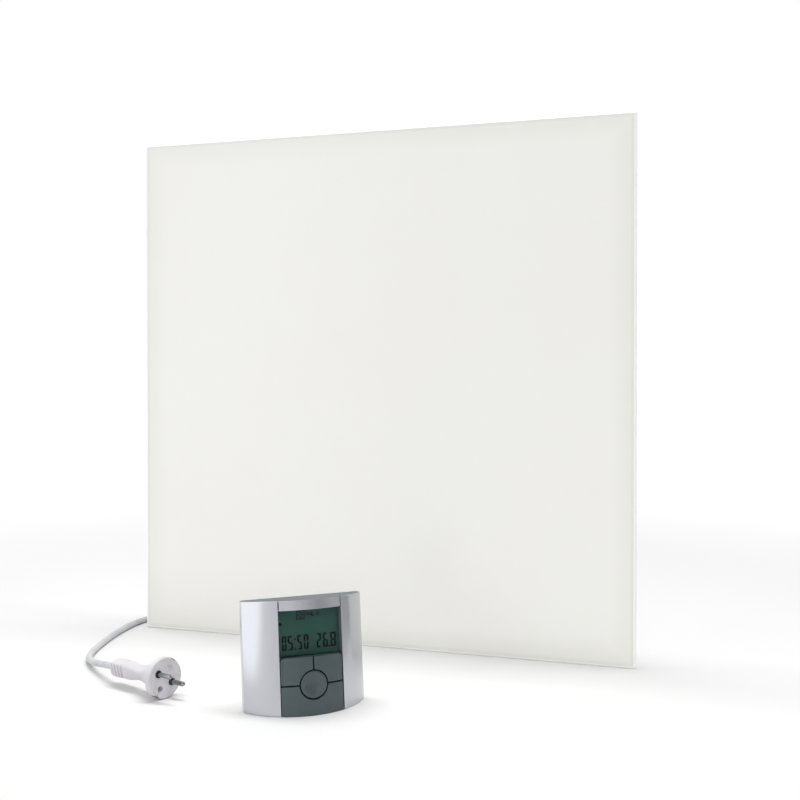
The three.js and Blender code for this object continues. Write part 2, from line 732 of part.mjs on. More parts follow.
function terminalBlock() {
  const y0 = boxInsideY + seatGap;
  const x = glandX + terminalOffsetX;
  const z = boxBottomZ + boxHeight - boxWall - terminalMargin - terminalHeight / 2;
  const pitch = terminalWidth / terminalPoles;
  let body = block(x - terminalWidth / 2, x + terminalWidth / 2, y0, y0 + terminalDepth,
    z - terminalHeight / 2, z + terminalHeight / 2);
  for (let pole = 0; pole < terminalPoles; pole += 1) {
    const poleX = x + (pole - (terminalPoles - 1) / 2) * pitch;
    const wireY = y0 + terminalWireDepth;
    const topY = y0 + terminalDepth;
    body = body.subtract(barZ(terminalWireRadius, z - terminalHeight, z + terminalHeight, poleX, wireY, 12));
    body = body.subtract(barY(terminalWireRadius, wireY, topY + past, poleX, z, 12));
    if (pole > 0) {
      const slotX = poleX - pitch / 2;
      body = body.subtract(block(slotX - terminalSlot / 2, slotX + terminalSlot / 2, topY - terminalSlotDepth,
        topY + past, z - terminalHeight, z + terminalHeight));
    }
  }
  return body;
}

function thermalCutout() {
  const y0 = boxInsideY + seatGap;
  const x = glandX;
  const z = boxBottomZ + boxWall + glandThreadLength + cutoutMargin + cutoutRadius;
  const cap = barY(cutoutRadius, y0, y0 + cutoutDepth, x, z, 24);
  const reach = cutoutRadius + cutoutReach / 2;
  const tabs = block(x - cutoutTab / 2, x + cutoutTab / 2, y0 + cutoutDepth / 2, y0 + cutoutDepth + cutoutRise,
    z - reach, z + reach);
  return cap.add(tabs);
}

heater.add(named('receiver_board', receiverBoardPlate(), boardGreen));
heater.add(named('receiver_relay', relay(), blackPlastic));
heater.add(named('terminal_block', terminalBlock(), whitePlastic));
heater.add(named('thermal_cutout', thermalCutout(), blackPlastic));

// ================================================================ cable gland and its bend relief
const glandSeatZ = boxBottomZ - seatGap;
const hexRadius = glandFlats / Math.sqrt(3);

function cableGland() {
  const hex = barZ(hexRadius, glandSeatZ - glandHexHeight, glandSeatZ, glandX, glandY, 6);
  const threadTop = boxBottomZ + boxWall + glandThreadLength;
  const thread = barZ(glandThread, glandSeatZ - glandLap, threadTop, glandX, glandY, 20);
  const domeTop = glandSeatZ - glandHexHeight;
  const domeEnd = domeTop - glandDomeHeight;
  const reliefEnd = domeEnd - reliefLength;
  const profile = [
    [0, domeTop + glandLap],
    [glandDomeRadius, domeTop + glandLap],
    [glandDomeRadius, domeTop - glandDomeHeight / 2],
    [reliefRadius + glandDomeLip, domeEnd],
    [reliefRadius, domeEnd],
  ];
  for (let ring = 0; ring < reliefRings; ring += 1) {
    const share = (ring + 0.5) / reliefRings;
    const radius = THREE.MathUtils.lerp(reliefRadius, reliefTip, share);
    const slim = radius - reliefGroove;
    const z = domeEnd - share * reliefLength;
    const half = reliefRingHeight / 2;
    profile.push([radius, z + half], [slim, z + half / 2], [slim, z - half / 2], [radius - 0.1, z - half]);
  }
  profile.push([reliefTip, reliefEnd], [0, reliefEnd]);
  const stem = turned(profile.reverse(), 20).translate([glandX, glandY, 0]);
  return joined([hex, thread, stem]);
}

function glandNut() {
  const z0 = boxBottomZ + boxWall + seatGap;
  const body = barZ(hexRadius, z0, z0 + nutHeight, glandX, glandY, 6);
  return body.subtract(barZ(glandThread + seatGap, z0 - past, z0 + nutHeight + past, glandX, glandY, 20));
}

heater.add(named('cable_gland', cableGland(), whitePlastic));
heater.add(named('gland_nut', glandNut(), whitePlastic));

// ================================================================ mains lead
const cordRadius = cordDiameter / 2;
const coilLowZ = tieThickness + seatGap + cordRadius;

function cordTube(route) {
  const curve = new THREE.CatmullRomCurve3(route.map((p) => new THREE.Vector3(...p)), false, 'centripetal');
  const section = new THREE.Shape();
  section.absarc(0, 0, cordRadius, 0, 2 * Math.PI, false);
  const steps = Math.round(curve.getLength() / (cordStep * cordDiameter));
  return solid(new THREE.ExtrudeGeometry(section, {
    steps,
    curveSegments: cordSides / 2,
    extrudePath: curve,
  }));
}

// The coil's centre line: in to the middle on the lower layer, out again on the upper one, and up in
// the half turn where it reverses.
function coilPath() {
  const half = coilTurns / 2;
  const points = [];
  const total = coilTurns * coilStepsPerTurn;
  for (let i = 0; i <= total; i += 1) {
    const turn = i / coilStepsPerTurn;
    const radius = coilOuterRadius - coilPitch * (half - Math.abs(turn - half));
    const climb = THREE.MathUtils.clamp((turn - half) / coilClimb + 0.5, 0, 1);
    const angle = (turn - 0.25) * 2 * Math.PI;
    points.push(new THREE.Vector3(
      coilCentreX + radius * Math.cos(angle),
      coilCentreY + radius * Math.sin(angle),
      coilLowZ + coilPitch * (0.5 - 0.5 * Math.cos(climb * Math.PI)),
    ));
  }
  const first = points[0];
  const last = points[points.length - 1];
  points.unshift(new THREE.Vector3(first.x - cordDiameter, first.y, first.z));
  points.push(new THREE.Vector3(last.x - cordDiameter, last.y, last.z));
  return points;
}

function woundTube(points, radius, sides) {
  const up = new THREE.Vector3(0, 0, 1);
  const rings = points.map((point, i) => {
    const before = points[Math.max(i - 1, 0)];
    const after = points[Math.min(i + 1, points.length - 1)];
    const along = new THREE.Vector3().subVectors(after, before).normalize();
    if (i === 0 || i === points.length - 1) along.set(Math.sign(along.x), 0, 0);
    const across = new THREE.Vector3().crossVectors(up, along).normalize();
    const over = new THREE.Vector3().crossVectors(along, across);
    return Array.from({ length: sides }, (_, k) => {
      const angle = (k / sides) * 2 * Math.PI;
      return point.clone()
        .addScaledVector(across, radius * Math.cos(angle))
        .addScaledVector(over, radius * Math.sin(angle));
    });
  });
  return loft(rings);
}

function leastSelfGap(points) {
  let least = Infinity;
  for (let i = 0; i < points.length; i += 1) {
    for (let j = i + coilStepsPerTurn / 2; j < points.length; j += 1) {
      least = Math.min(least, points[i].distanceTo(points[j]) - cordDiameter);
    }
  }
  return least;
}

// A band round the coil's section, flat underneath, on which the coil lies.
function coilTie() {
  const turnHere = tieAngle / 360 + 0.25;
  const layerTurns = coilTurns / 2;
  const radiusAt = (turn) => coilOuterRadius - coilPitch * (layerTurns - Math.abs(turn - layerTurns));
  const passes = [];
  for (let turn = turnHere; turn <= coilTurns; turn += 1) passes.push(radiusAt(turn));
  const inner = Math.min(...passes) - cordRadius - tieSlack;
  const outer = Math.max(...passes) + cordRadius + tieSlack;
  const top = coilLowZ + coilPitch + cordRadius + seatGap;
  const width = outer - inner + 2 * tieThickness;
  const height = top + tieThickness;
  const middle = (inner + outer) / 2;
  const boreCorner = tieCorner - tieThickness;
  const band = plate(roundedRect(width, height, tieCorner, middle, height / 2), -tieWidth / 2, tieWidth / 2);
  const bore = roundedRect(outer - inner, top - tieThickness, boreCorner, middle, (top + tieThickness) / 2);
  return band.subtract(plate(bore, -tieWidth, tieWidth))
    .rotate([0, 0, tieAngle])
    .translate([coilCentreX, coilCentreY, 0]);
}

const coilPoints = coilPath();
console.log(`least gap between the coil's turns: ${leastSelfGap(coilPoints).toFixed(2)} mm`);
heater.add(named('cord_lead', cordTube(leadRoute), cordGrey));
heater.add(named('cord_coil', woundTube(coilPoints, cordRadius, coilSides), cordGrey));
heater.add(named('coil_tie', coilTie(), blackPlastic));
heater.add(named('cord_run', cordTube(runRoute), cordGrey));

// ================================================================ plug
// Built along +X with its face at x = 0 and the first pin towards +Y, then rolled and laid down.
const earthSide = -1;

function plugRing(x, halfWidth, halfHeight, power, roll, sides = 32) {
  return Array.from({ length: sides }, (_, k) => {
    const angle = (k / sides) * 2 * Math.PI;
    const c = Math.cos(angle);
    const s = Math.sin(angle);
    const reach = (Math.abs(c) ** power + Math.abs(s) ** power) ** (-1 / power);
    const y = halfWidth * reach * c;
    const z = halfHeight * reach * s;
    const turnedY = y * Math.cos(roll) - z * Math.sin(roll);
    const turnedZ = y * Math.sin(roll) + z * Math.cos(roll);
    return new THREE.Vector3(x, turnedY, turnedZ);
  });
}

function plugBody() {
  const roll = rad(plugGripRoll - plugRoll);
  const end = -plugLength;
  const entry = cordRadius + plugEntryWall;
  const rings = [plugRing(end, entry, entry, 2, roll)];
  const pitch = gripLength / gripGrooves;
  const half = gripWidth / 2;
  for (let groove = 0; groove < gripGrooves; groove += 1) {
    const x = end + plugEdge + groove * pitch;
    const wide = half - (groove === 0 ? gripTaper : 0);
    const slim = wide - gripGrooveDepth;
    rings.push(plugRing(x, wide, half, gripSquareness, roll));
    rings.push(plugRing(x + pitch * 0.5, wide, half, gripSquareness, roll));
    rings.push(plugRing(x + pitch * 0.6, slim, half, gripSquareness, roll));
    rings.push(plugRing(x + pitch * 0.9, slim, half, gripSquareness, roll));
  }
  const ribsEnd = end + gripLength;
  const neck = neckWidth / 2;
  const flare = end + plugNeckLength;
  const wideEnd = plugRadius - flareInset;
  rings.push(plugRing(ribsEnd + plugEdge, half, half, gripSquareness, roll));
  rings.push(plugRing(ribsEnd + gripShoulder, half, half, shoulderSquareness, roll));
  rings.push(plugRing(ribsEnd + gripToNeck, neck, neck, (shoulderSquareness + neckSquareness) / 2, roll));
  rings.push(plugRing(flare - flareStart, neck, neck, neckSquareness, roll));
  const flareSteps = 6;
  for (let step = 1; step <= flareSteps; step += 1) {
    const share = step / flareSteps;
    const x = THREE.MathUtils.lerp(flare, -plugRim - flareBack, share);
    const radius = THREE.MathUtils.lerp(neck, wideEnd, share ** flareBend);
    const squareness = THREE.MathUtils.lerp(neckSquareness, 2, Math.min(share * 2, 1));
    rings.push(plugRing(x, radius, radius, squareness, roll));
  }
  rings.push(plugRing(-plugRim, plugRadius, plugRadius, 2, roll));
  rings.push(plugRing(-plugEdge, plugRadius, plugRadius, 2, roll));
  rings.push(plugRing(0, plugRadius - plugEdge, plugRadius - plugEdge, 2, roll));
  let body = loft(rings);
  const bore = (radius, depth, y, z) => {
    const geometry = new THREE.CylinderGeometry(radius, radius, depth + past, 20).rotateZ(Math.PI / 2);
    return solid(geometry.translate((past - depth) / 2, y, z));
  };
  for (const side of [-1, 1]) {
    body = body.subtract(bore(pinRadius + seatGap, pinShank + seatGap, side * pinSpacing / 2, 0));
    body = body.subtract(bore(collarRadius + seatGap, collarSunk, side * pinSpacing / 2, 0));
    const rimZ = side * plugRadius;
    const deep = clipThickness + 2 * seatGap;
    const wide = clipWidth / 2 + seatGap;
    const [z0, z1] = [rimZ - side * deep, rimZ + side * past].sort((a, b) => a - b);
    body = body.subtract(block(-clipLength - seatGap, past, -wide, wide, z0, z1));
  }
  body = body.subtract(bore(earthHoleRadius, earthHoleDepth, 0, earthSide * earthHoleOffset));
  body = body.subtract(bore(dimpleRadius, dimpleDepth, 0, -earthSide * earthHoleOffset));
  const slotEnd = earthSide * (plugRadius + past);
  const [z0, z1] = [earthSide * earthHoleOffset, slotEnd].sort((a, b) => a - b);
  return body.subtract(block(-keySlotDepth, past, -keySlotWidth / 2, keySlotWidth / 2, z0, z1));
}

function plugPin(side) {
  const tip = pinLength - pinRadius;
  const profile = [[0, -pinShank], [pinRadius, -pinShank], [pinRadius, tip]];
  for (const angle of [25, 50]) {
    profile.push([pinRadius * Math.cos(rad(angle)), tip + pinRadius * Math.sin(rad(angle))]);
  }
  profile.push([0, pinLength]);
  return turned(profile, 20).rotate([0, 90, 0]).translate([0, side * pinSpacing / 2, 0]);
}

function pinCollar(side) {
  const inner = pinRadius + seatGap / 2;
  const base = seatGap / 3 - collarSunk;
  const ring = turned([
    [0, base],
    [collarRadius, base],
    [collarRadius, collarHeight - collarEdge],
    [collarRadius - collarEdge, collarHeight],
    [0, collarHeight],
  ], 20);
  const bored = ring.subtract(barZ(inner, -past, past, 0, 0, 20));
  return bored.rotate([0, 90, 0]).translate([0, side * pinSpacing / 2, 0]);
}

function earthSleeve() {
  const outer = earthHoleRadius - seatGap / 2;
  const length = earthHoleDepth - seatGap;
  const tube = barZ(outer, -length, -earthSleeveSunk, 0, 0, 20).subtract(
    barZ(outer - earthSleeveWall, -length + earthSleeveWall, past, 0, 0, 20),
  );
  return tube.rotate([0, 90, 0]).translate([0, 0, earthSide * earthHoleOffset]);
}

function earthClip(side) {
  const outer = plugRadius - seatGap;
  const [z0, z1] = [side * outer, side * (outer - clipThickness)].sort((a, b) => a - b);
  return block(-clipLength, -clipSunk, -clipWidth / 2, clipWidth / 2, z0, z1);
}

const plug = new THREE.Group();
plug.position.set(...plugFace);
plug.rotation.set(rad(plugRoll), -rad(plugTilt), rad(plugAzimuth), 'ZYX');
plug.add(named('plug_body', plugBody(), plugGrey));
[1, -1].forEach((side, place) => {
  plug.add(named(`plug_pin_${place + 1}`, plugPin(side), nickel));
  plug.add(named(`pin_collar_${place + 1}`, pinCollar(side), blackPlastic));
  plug.add(named(`earth_clip_${place + 1}`, earthClip(side), nickel));
});
plug.add(named('earth_sleeve', earthSleeve(), nickel));
heater.add(plug);

// ================================================================ thermostat
// Case frame: X across, -Y out of the front, Z up the back plane, which leans back. Depths are
// counted from that plane, so a depth d lies at y = -d.
const bowRadius = ((caseWidth / 2) ** 2 + caseBow ** 2) / (2 * caseBow);
const bowCentre = caseSide + caseBow - bowRadius;
const lean = rad(caseLean);
const frontDepth = (x, inset = 0) => bowCentre + Math.sqrt((bowRadius - inset) ** 2 - x ** 2);
const floorZ = (depth) => -depth * Math.tan(lean);

// Plan of the case, drawn in by inset all round, from the back plane to the bowed front.
function casePlan(inset, backDepthAt = inset) {
  const half = caseWidth / 2 - inset;
  const radius = bowRadius - inset;
  const reach = Math.asin(half / radius);
  const side = bowCentre + radius * Math.cos(reach);
  const plan = new THREE.Shape();
  plan.moveTo(-half, -backDepthAt);
  plan.lineTo(-half, -side);
  plan.absarc(0, -bowCentre, radius, -Math.PI / 2 - reach, -Math.PI / 2 + reach, false);
  plan.lineTo(half, -backDepthAt);
  return plan;
}

// Everything below the plane that lies lift above the floor, in the case frame.
function belowFloor(lift = 0) {
  const size = 4 * caseWidth;
  const geometry = new THREE.BoxGeometry(size, size, size).translate(0, 0, lift - size / 2);
  return solid(geometry.rotateX(lean));
}

function layer(x0, x1, d0, d1, z0, z1) {
  return block(x0, x1, -d1, -d0, z0, z1);
}

const caseFoot = -caseSide - caseBow;
const joinDepth = backDepth + seatGap;
const windowTop = caseHeight - windowDrop;
const boardWidth = 2 * (channelHalf + boardSideMargin);
const boardTop = caseHeight - boardDrop;
const boardFront = boardDepth + boardSheet;
const channelBack = glassDepth + glassThickness + seatGap;
const carrierDepth = channelBack;
const keyHalf = channelHalf - keySideGap;
const cradleHalf = batteryLength / 2 + batteryTip + seatGap;
const cradleLow = batteryLowZ - batteryRadius;
const cradleHigh = batteryLowZ + batteryPitch + batteryRadius;
const shelfTop = keyTop - seatGap;

function caseScrewPlaces() {
  const x = caseWidth / 2 - caseScrewInset;
  const high = caseHeight - caseScrewDrop;
  return [[-x, caseScrewLowZ], [x, caseScrewLowZ], [-x, high], [x, high]];
}

function frontShell() {
  const outer = tower(casePlan(0, -past), caseFoot, caseHeight, caseEdge)
    .subtract(layer(-caseWidth, caseWidth, -2 * past, joinDepth, caseFoot - past, caseHeight + past))
    .subtract(belowFloor());
  let cavity = tower(casePlan(caseWall, -past), caseFoot - past, caseHeight - caseWall);
  cavity = cavity.subtract(belowFloor(caseWall));
  const ribTop = windowTop + channelRib;
  const ribHalf = channelHalf + channelRib;
  const ribs = joined([
    layer(-ribHalf, -channelHalf, channelBack, 2 * caseBow, caseFoot, ribTop),
    layer(channelHalf, ribHalf, channelBack, 2 * caseBow, caseFoot, ribTop),
    layer(-ribHalf, ribHalf, channelBack, 2 * caseBow, windowTop, ribTop),
  ]);
  const boss = ([x, z]) => barY(bossRadius, -2 * caseBow, -joinDepth, x, z, 16);
  const bosses = joined(caseScrewPlaces().map(boss));
  const core = tower(casePlan(caseWall / 2, -past), caseFoot, caseHeight - caseWall / 2)
    .subtract(belowFloor(caseWall / 2));
  let shell = outer.subtract(cavity).add(ribs.add(bosses).intersect(core));
  const channelFloor = channelBack - seatGap;
  shell = shell.subtract(layer(-channelHalf, channelHalf, channelFloor, 2 * caseBow, caseFoot, windowTop));
  for (const side of [-1, 1]) {
    const x = side * (channelHalf - grooveWidth / 2);
    shell = shell.subtract(layer(x - grooveWidth / 2, x + grooveWidth / 2,
      frontDepth(channelHalf) - grooveDepth, 2 * caseBow, windowTop - past, caseHeight + past));
  }
  for (const [x, z] of caseScrewPlaces()) {
    shell = shell.subtract(barY(screwPilot, -frontDepth(x) + 2 * caseWall, past, x, z, 12));
  }
  return shell;
}

function backShell() {
  const outer = tower(casePlan(0, 0), caseFoot, caseHeight, caseEdge)
    .intersect(layer(-caseWidth, caseWidth, 0, backDepth, caseFoot - past, caseHeight + past))
    .subtract(belowFloor());
  const cavity = tower(casePlan(caseWall, caseWall), caseFoot - past, caseHeight - caseWall)
    .subtract(belowFloor(caseWall));
  const cradleFront = caseWall + seatGap + batteryRadius + cradleRise;
  const ends = [-1, 1].map((side) => {
    const [x0, x1] = [side * cradleHalf, side * (cradleHalf + cradleWall)].sort((a, b) => a - b);
    return layer(x0, x1, caseWall / 2, cradleFront, cradleLow, cradleHigh);
  });
  const shelfZ = cradleLow - seatGap;
  const shelfHalf = cradleHalf + cradleWall / 2;
  let shelf = layer(-shelfHalf, shelfHalf, caseWall / 2, caseWall + cradleShelf, shelfZ - cradleWall, shelfZ);
  for (const side of [-1, 1]) {
    const half = doorHookWidth / 2 + seatGap;
    shelf = shelf.subtract(layer(side * doorHookX - half, side * doorHookX + half, caseWall, caseWall + past,
      shelfZ - cradleWall - past, shelfZ + past));
  }
  const pillars = [];
  for (const side of [-1, 1]) {
    const x = side * (boardWidth / 2 - pillarInset);
    for (const z of [boardBottom + pillarEnd, boardTop - pillarEnd]) {
      pillars.push(barY(pillarRadius, -boardDepth + seatGap, -caseWall / 2, x, z, 12));
    }
  }
  const opening = layer(-cradleHalf, cradleHalf, -past, caseWall + past, cradleLow, cradleHigh + seatGap);
  let shell = joined([outer.subtract(cavity).subtract(opening), ...ends, shelf, ...pillars]);
  for (const [x, z] of caseScrewPlaces()) {
    shell = shell.add(barY(bossRadius, -backDepth, -caseWall / 2, x, z, 16));
    shell = shell.subtract(barY(screwRadius + seatGap, -backDepth - past, past, x, z, 12));
    shell = shell.subtract(barY(screwHeadRadius + seatGap, -screwHeadHeight - seatGap, past, x, z, 16));
  }
  return shell;
}

// The plate over the cells: two hooks below and a catch above reach behind the case's wall.
function batteryDoor() {
  const half = cradleHalf - seatGap;
  const low = cradleLow + seatGap;
  const high = cradleHigh;
  const inside = caseWall + seatGap;
  let door = layer(-half, half, 0, caseWall, low, high);
  door = door.subtract(layer(-doorNotchWidth / 2, doorNotchWidth / 2, -past, doorNotchDepth,
    high - doorNotchHeight, high + past));
  const grips = [[-doorHookX, doorHookWidth, -1], [doorHookX, doorHookWidth, -1], [0, doorCatchWidth, 1]];
  for (const [x, width, way] of grips) {
    const edge = way < 0 ? low : high;
    const rootEnd = edge - way * doorHookRoot;
    const [root0, root1] = [edge, rootEnd].sort((a, b) => a - b);
    const [tip0, tip1] = [edge + way * doorHookReach, rootEnd].sort((a, b) => a - b);
    const [x0, x1] = [x - width / 2, x + width / 2];
    door = door.add(layer(x0, x1, caseWall / 2, inside + doorHookThickness, root0, root1));
    door = door.add(layer(x0, x1, inside, inside + doorHookThickness, tip0, tip1));
  }
  return door;
}

function displayGlass() {
  const half = channelHalf + channelRib + seatGap;
  const outline = roundedRect(2 * half, windowTop - keyTop + 2 * glassMargin, 1, 0, (windowTop + keyTop) / 2);
  return plate(outline, -glassDepth - glassThickness, -glassDepth);
}

// The display's cell behind the glass, on four legs that stand on the board.
function displayModule() {
  const width = 2 * (channelHalf - displaySideMargin);
  const height = windowTop - keyTop - 2 * displayEndMargin;
  const middleZ = (windowTop + keyTop) / 2;
  const front = glassDepth - seatGap;
  const cell = plate(roundedRect(width, height, 1, 0, middleZ), -front, displayThickness - front);
  const legs = [];
  for (const dx of [-1, 1]) {
    const [x0, x1] = [dx * width / 2, dx * (width / 2 - displayLeg)].sort((a, b) => a - b);
    for (const dz of [-1, 1]) {
      const z = middleZ + dz * (height / 2 - displayLeg);
      legs.push(layer(x0, x1, boardFront + seatGap, front - displayThickness / 2,
        z - displayLeg / 2, z + displayLeg / 2));
    }
  }
  return joined([cell, ...legs]);
}

function circuitBoard() {
  let board = layer(-boardWidth / 2, boardWidth / 2, boardDepth, boardFront, boardBottom, boardTop);
  const half = switchWidth / 2;
  for (const [x, z] of [[-stemX, stemZ], [stemX, stemZ], [0, keyLine]]) {
    board = board.add(layer(x - half, x + half, boardDepth + boardSheet / 2, boardFront + switchHeight,
      z - half, z + half));
  }
  return board;
}

// The skin of thickness keyCap that follows the case's front, a little below it.
function keySkin() {
  const outer = tower(casePlan(keySink, 0), caseFoot, keyTop);
  return outer.subtract(tower(casePlan(keySink + keyCap, -past), caseFoot - past, keyTop + past));
}

function guidedStem(x, z, frontAt) {
  const half = stemWidth / 2;
  const back = boardFront + switchHeight + keyTravel + seatGap;
  const post = layer(x - half, x + half, back, frontAt, z - half, z + half);
  const collarFront = carrierDepth - seatGap;
  const wide = half + stemCollar;
  return post.add(layer(x - wide, x + wide, collarFront - stemCollarHeight, collarFront, z - wide, z + wide));
}

function buttonClearance() {
  return barY(buttonRadius + keyLineGap, -2 * caseBow - past, -channelBack, 0, keyLine, 40);
}

function arrowKey(side) {
  const lineHalf = keyLineGap / 2;
  const [x0, x1] = [side * lineHalf, side * keyHalf].sort((a, b) => a - b);
  const area = roundedRect(x1 - x0, keyTop - keyLine - lineHalf, keyInnerRadius,
    (x0 + x1) / 2, (keyTop + keyLine + lineHalf) / 2);
  let cap = keySkin().intersect(plate(area, -2 * caseBow, -channelBack)).subtract(buttonClearance());
  const x = side * keyHalf;
  const round = keyCornerRadius;
  const [c0, c1] = [x - side * round, x + side * past].sort((a, b) => a - b);
  const square = layer(c0, c1, channelBack, 2 * caseBow, keyTop - round, keyTop + past);
  const quarter = barY(round, -2 * caseBow, -channelBack, x - side * round, keyTop - round, 24);
  cap = cap.subtract(square.subtract(quarter));
  const stemFront = frontDepth(stemX + stemWidth / 2, keySink + keyCap / 2);
  return cap.add(guidedStem(side * stemX, stemZ, stemFront));
}

function okButton() {
  const face = frontDepth(buttonRadius, keySink) + buttonProud;
  const skirt = face - keyCap - buttonSkirt;
  const dishRadius = buttonRadius - buttonRimWidth;
  const profile = [[0, skirt], [buttonRadius, skirt]];
  for (const angle of [0, 45, 90]) {
    const draw = buttonEdge * (1 - Math.cos(rad(angle)));
    profile.push([buttonRadius - draw, face - buttonEdge * (1 - Math.sin(rad(angle)))]);
  }
  profile.push([dishRadius + buttonEdge, face], [dishRadius, face - dishLip]);
  for (let step = 1; step <= dishSteps; step += 1) {
    const share = 1 - step / dishSteps;
    profile.push([dishRadius * share, face - dishLip - buttonDish * (1 - share ** 2)]);
  }
  return knobOut(profile, 0, keyLine).add(guidedStem(0, keyLine, skirt + seatGap));
}

function lowerCover() {
  const area = layer(-keyHalf, keyHalf, channelBack, 2 * caseBow, caseFoot, keyLine - keyLineGap / 2);
  const skin = keySkin().intersect(area);
  const plan = tower(casePlan(keySink, 0), caseFoot, 0);
  const soleBack = carrierDepth + carrierSheet + seatGap;
  const sole = plan.intersect(layer(-keyHalf, keyHalf, soleBack, 2 * caseBow, caseFoot, 0))
    .intersect(belowFloor(keyCap));
  return skin.add(sole).subtract(belowFloor()).subtract(buttonClearance());
}

function keyCarrier() {
  const half = channelHalf - seatGap;
  let frame = layer(-half, half, carrierDepth, carrierDepth + carrierSheet, 0, shelfTop);
  const behindKeys = keySink + keyCap + keyTravel + seatGap;
  const shelfPlan = tower(casePlan(behindKeys, 0), shelfTop - carrierShelf, shelfTop);
  frame = frame.add(shelfPlan.intersect(layer(-half, half, channelBack, 2 * caseBow, 0, shelfTop)));
  const hole = stemWidth / 2 + slideGap;
  for (const [x, z] of [[-stemX, stemZ], [stemX, stemZ], [0, keyLine]]) {
    frame = frame.subtract(layer(x - hole, x + hole, carrierDepth - past, carrierDepth + carrierSheet + past,
      z - hole, z + hole));
  }
  for (const side of [-1, 1]) {
    const x = side * (half - carrierLegInset);
    for (const z of [boardBottom + carrierLegLow, shelfTop - carrierLegHigh]) {
      frame = frame.add(barY(carrierLeg, -carrierDepth - carrierSheet / 2, -boardFront - seatGap, x, z, 12));
    }
  }
  return frame;
}

function battery(z) {
  const depth = caseWall + seatGap + batteryRadius;
  const half = batteryLength / 2;
  const profile = [[0, -half], [batteryRadius, -half], [batteryRadius, half], [batteryTipRadius, half],
    [batteryTipRadius, half + batteryTip], [0, half + batteryTip]];
  return turned(profile, 20).rotate([0, 90, 0]).translate([0, -depth, z]);
}

const thermostat = new THREE.Group();
thermostat.position.set(caseX, caseY, 0);
thermostat.rotation.set(-lean, 0, rad(caseTurn), 'ZYX');
thermostat.add(named('case_front', frontShell(), silverPaint));
thermostat.add(named('case_back', backShell(), silverPaint));
thermostat.add(named('battery_door', batteryDoor(), silverPaint));
thermostat.add(named('display_glass', displayGlass(), clearGlaze));
thermostat.add(named('display_module', displayModule(), displayTeal));
thermostat.add(named('circuit_board', circuitBoard(), boardGreen));
thermostat.add(named('key_carrier', keyCarrier(), keyGrey));
thermostat.add(named('left_key', arrowKey(-1), keyGrey));
thermostat.add(named('right_key', arrowKey(1), keyGrey));
thermostat.add(named('ok_button', okButton(), keyGrey));
thermostat.add(named('lower_cover', lowerCover(), keyGrey));
thermostat.add(named('battery_1', battery(batteryLowZ), cellGrey));
thermostat.add(named('battery_2', battery(batteryLowZ + batteryPitch), cellGrey));
caseScrewPlaces().forEach(([x, z], place) => {
  const reach = -backDepth - caseScrewReach;
  const screw = panHeadScrew(x, z, -screwHeadHeight - seatGap, reach);
  thermostat.add(named(`case_screw_${place + 1}`, screw, zinc));
});
heater.add(thermostat);

export default heater;
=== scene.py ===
# %% [markdown]
# # A glass infrared panel heater, its mains lead and its room thermostat
#
# A sheet of white glass, 600 mm square, warms a room by radiation. It stands here on its bottom
# edge. A thin steel casing behind it holds the heating layers, four hangers and a junction box, out
# of which the mains lead runs. A wireless thermostat stands by itself in front of the glass.
#
# Every size is a length of the real object. Sizes in this file are in millimetres and are turned
# into Blender's metres in one place, where a piece is put in the scene.

# %% The frame that everything is built round
import math

import bmesh
import bpy
from mathutils import Matrix, Vector


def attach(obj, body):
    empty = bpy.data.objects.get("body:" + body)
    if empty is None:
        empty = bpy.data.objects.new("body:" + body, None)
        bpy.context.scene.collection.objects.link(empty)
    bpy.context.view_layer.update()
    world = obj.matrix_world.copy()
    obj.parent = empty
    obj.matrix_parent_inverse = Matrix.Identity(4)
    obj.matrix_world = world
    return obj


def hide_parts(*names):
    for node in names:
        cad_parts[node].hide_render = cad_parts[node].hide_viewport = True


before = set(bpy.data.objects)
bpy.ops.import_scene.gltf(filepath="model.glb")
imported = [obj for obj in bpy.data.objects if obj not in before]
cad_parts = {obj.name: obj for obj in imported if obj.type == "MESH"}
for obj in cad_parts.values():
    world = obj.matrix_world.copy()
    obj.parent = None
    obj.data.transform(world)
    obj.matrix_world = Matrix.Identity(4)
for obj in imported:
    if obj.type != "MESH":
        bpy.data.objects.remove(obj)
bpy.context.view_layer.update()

MM = 0.001

# %% [markdown]
# ## The camera
#
# The camera stands to the right of the glass, a little above its middle, and looks to the left.
# A long lens could stand farther off, but the way the panel's right edge looms over its left one
# gives the distance away: about 1.2 m. The picture's centre isn't the lens's centre, because the
# photograph was cropped, and a small shift of the lens makes up for that without turning the camera.

# %% The camera
CAMERA_PLACE = (427.4, -1193.3, 328.4)
CAMERA_YAW = 18.33          # degrees to the left of straight at the glass
CAMERA_PITCH = 0.525        # degrees down
PICTURE_WIDTH = 800
FOCAL_PIXELS = 1091.5
LENS_CENTRE_Y = 373.9       # the picture's row that the lens points at
SENSOR = 36.0

camera = bpy.data.objects.new("camera", bpy.data.cameras.new("camera"))
bpy.context.scene.collection.objects.link(camera)
bpy.context.scene.camera = camera
camera.location = Vector(CAMERA_PLACE) * MM
camera.rotation_euler = (math.radians(90 - CAMERA_PITCH), 0, math.radians(CAMERA_YAW))
camera.data.sensor_width = SENSOR
camera.data.lens = SENSOR * FOCAL_PIXELS / PICTURE_WIDTH
camera.data.shift_y = (LENS_CENTRE_Y - PICTURE_WIDTH / 2) / PICTURE_WIDTH
camera.data.clip_start = 0.05
bpy.context.scene.view_settings.view_transform = "Standard"
print(f"lens {camera.data.lens:.1f} mm, shift {camera.data.shift_y:.4f}")

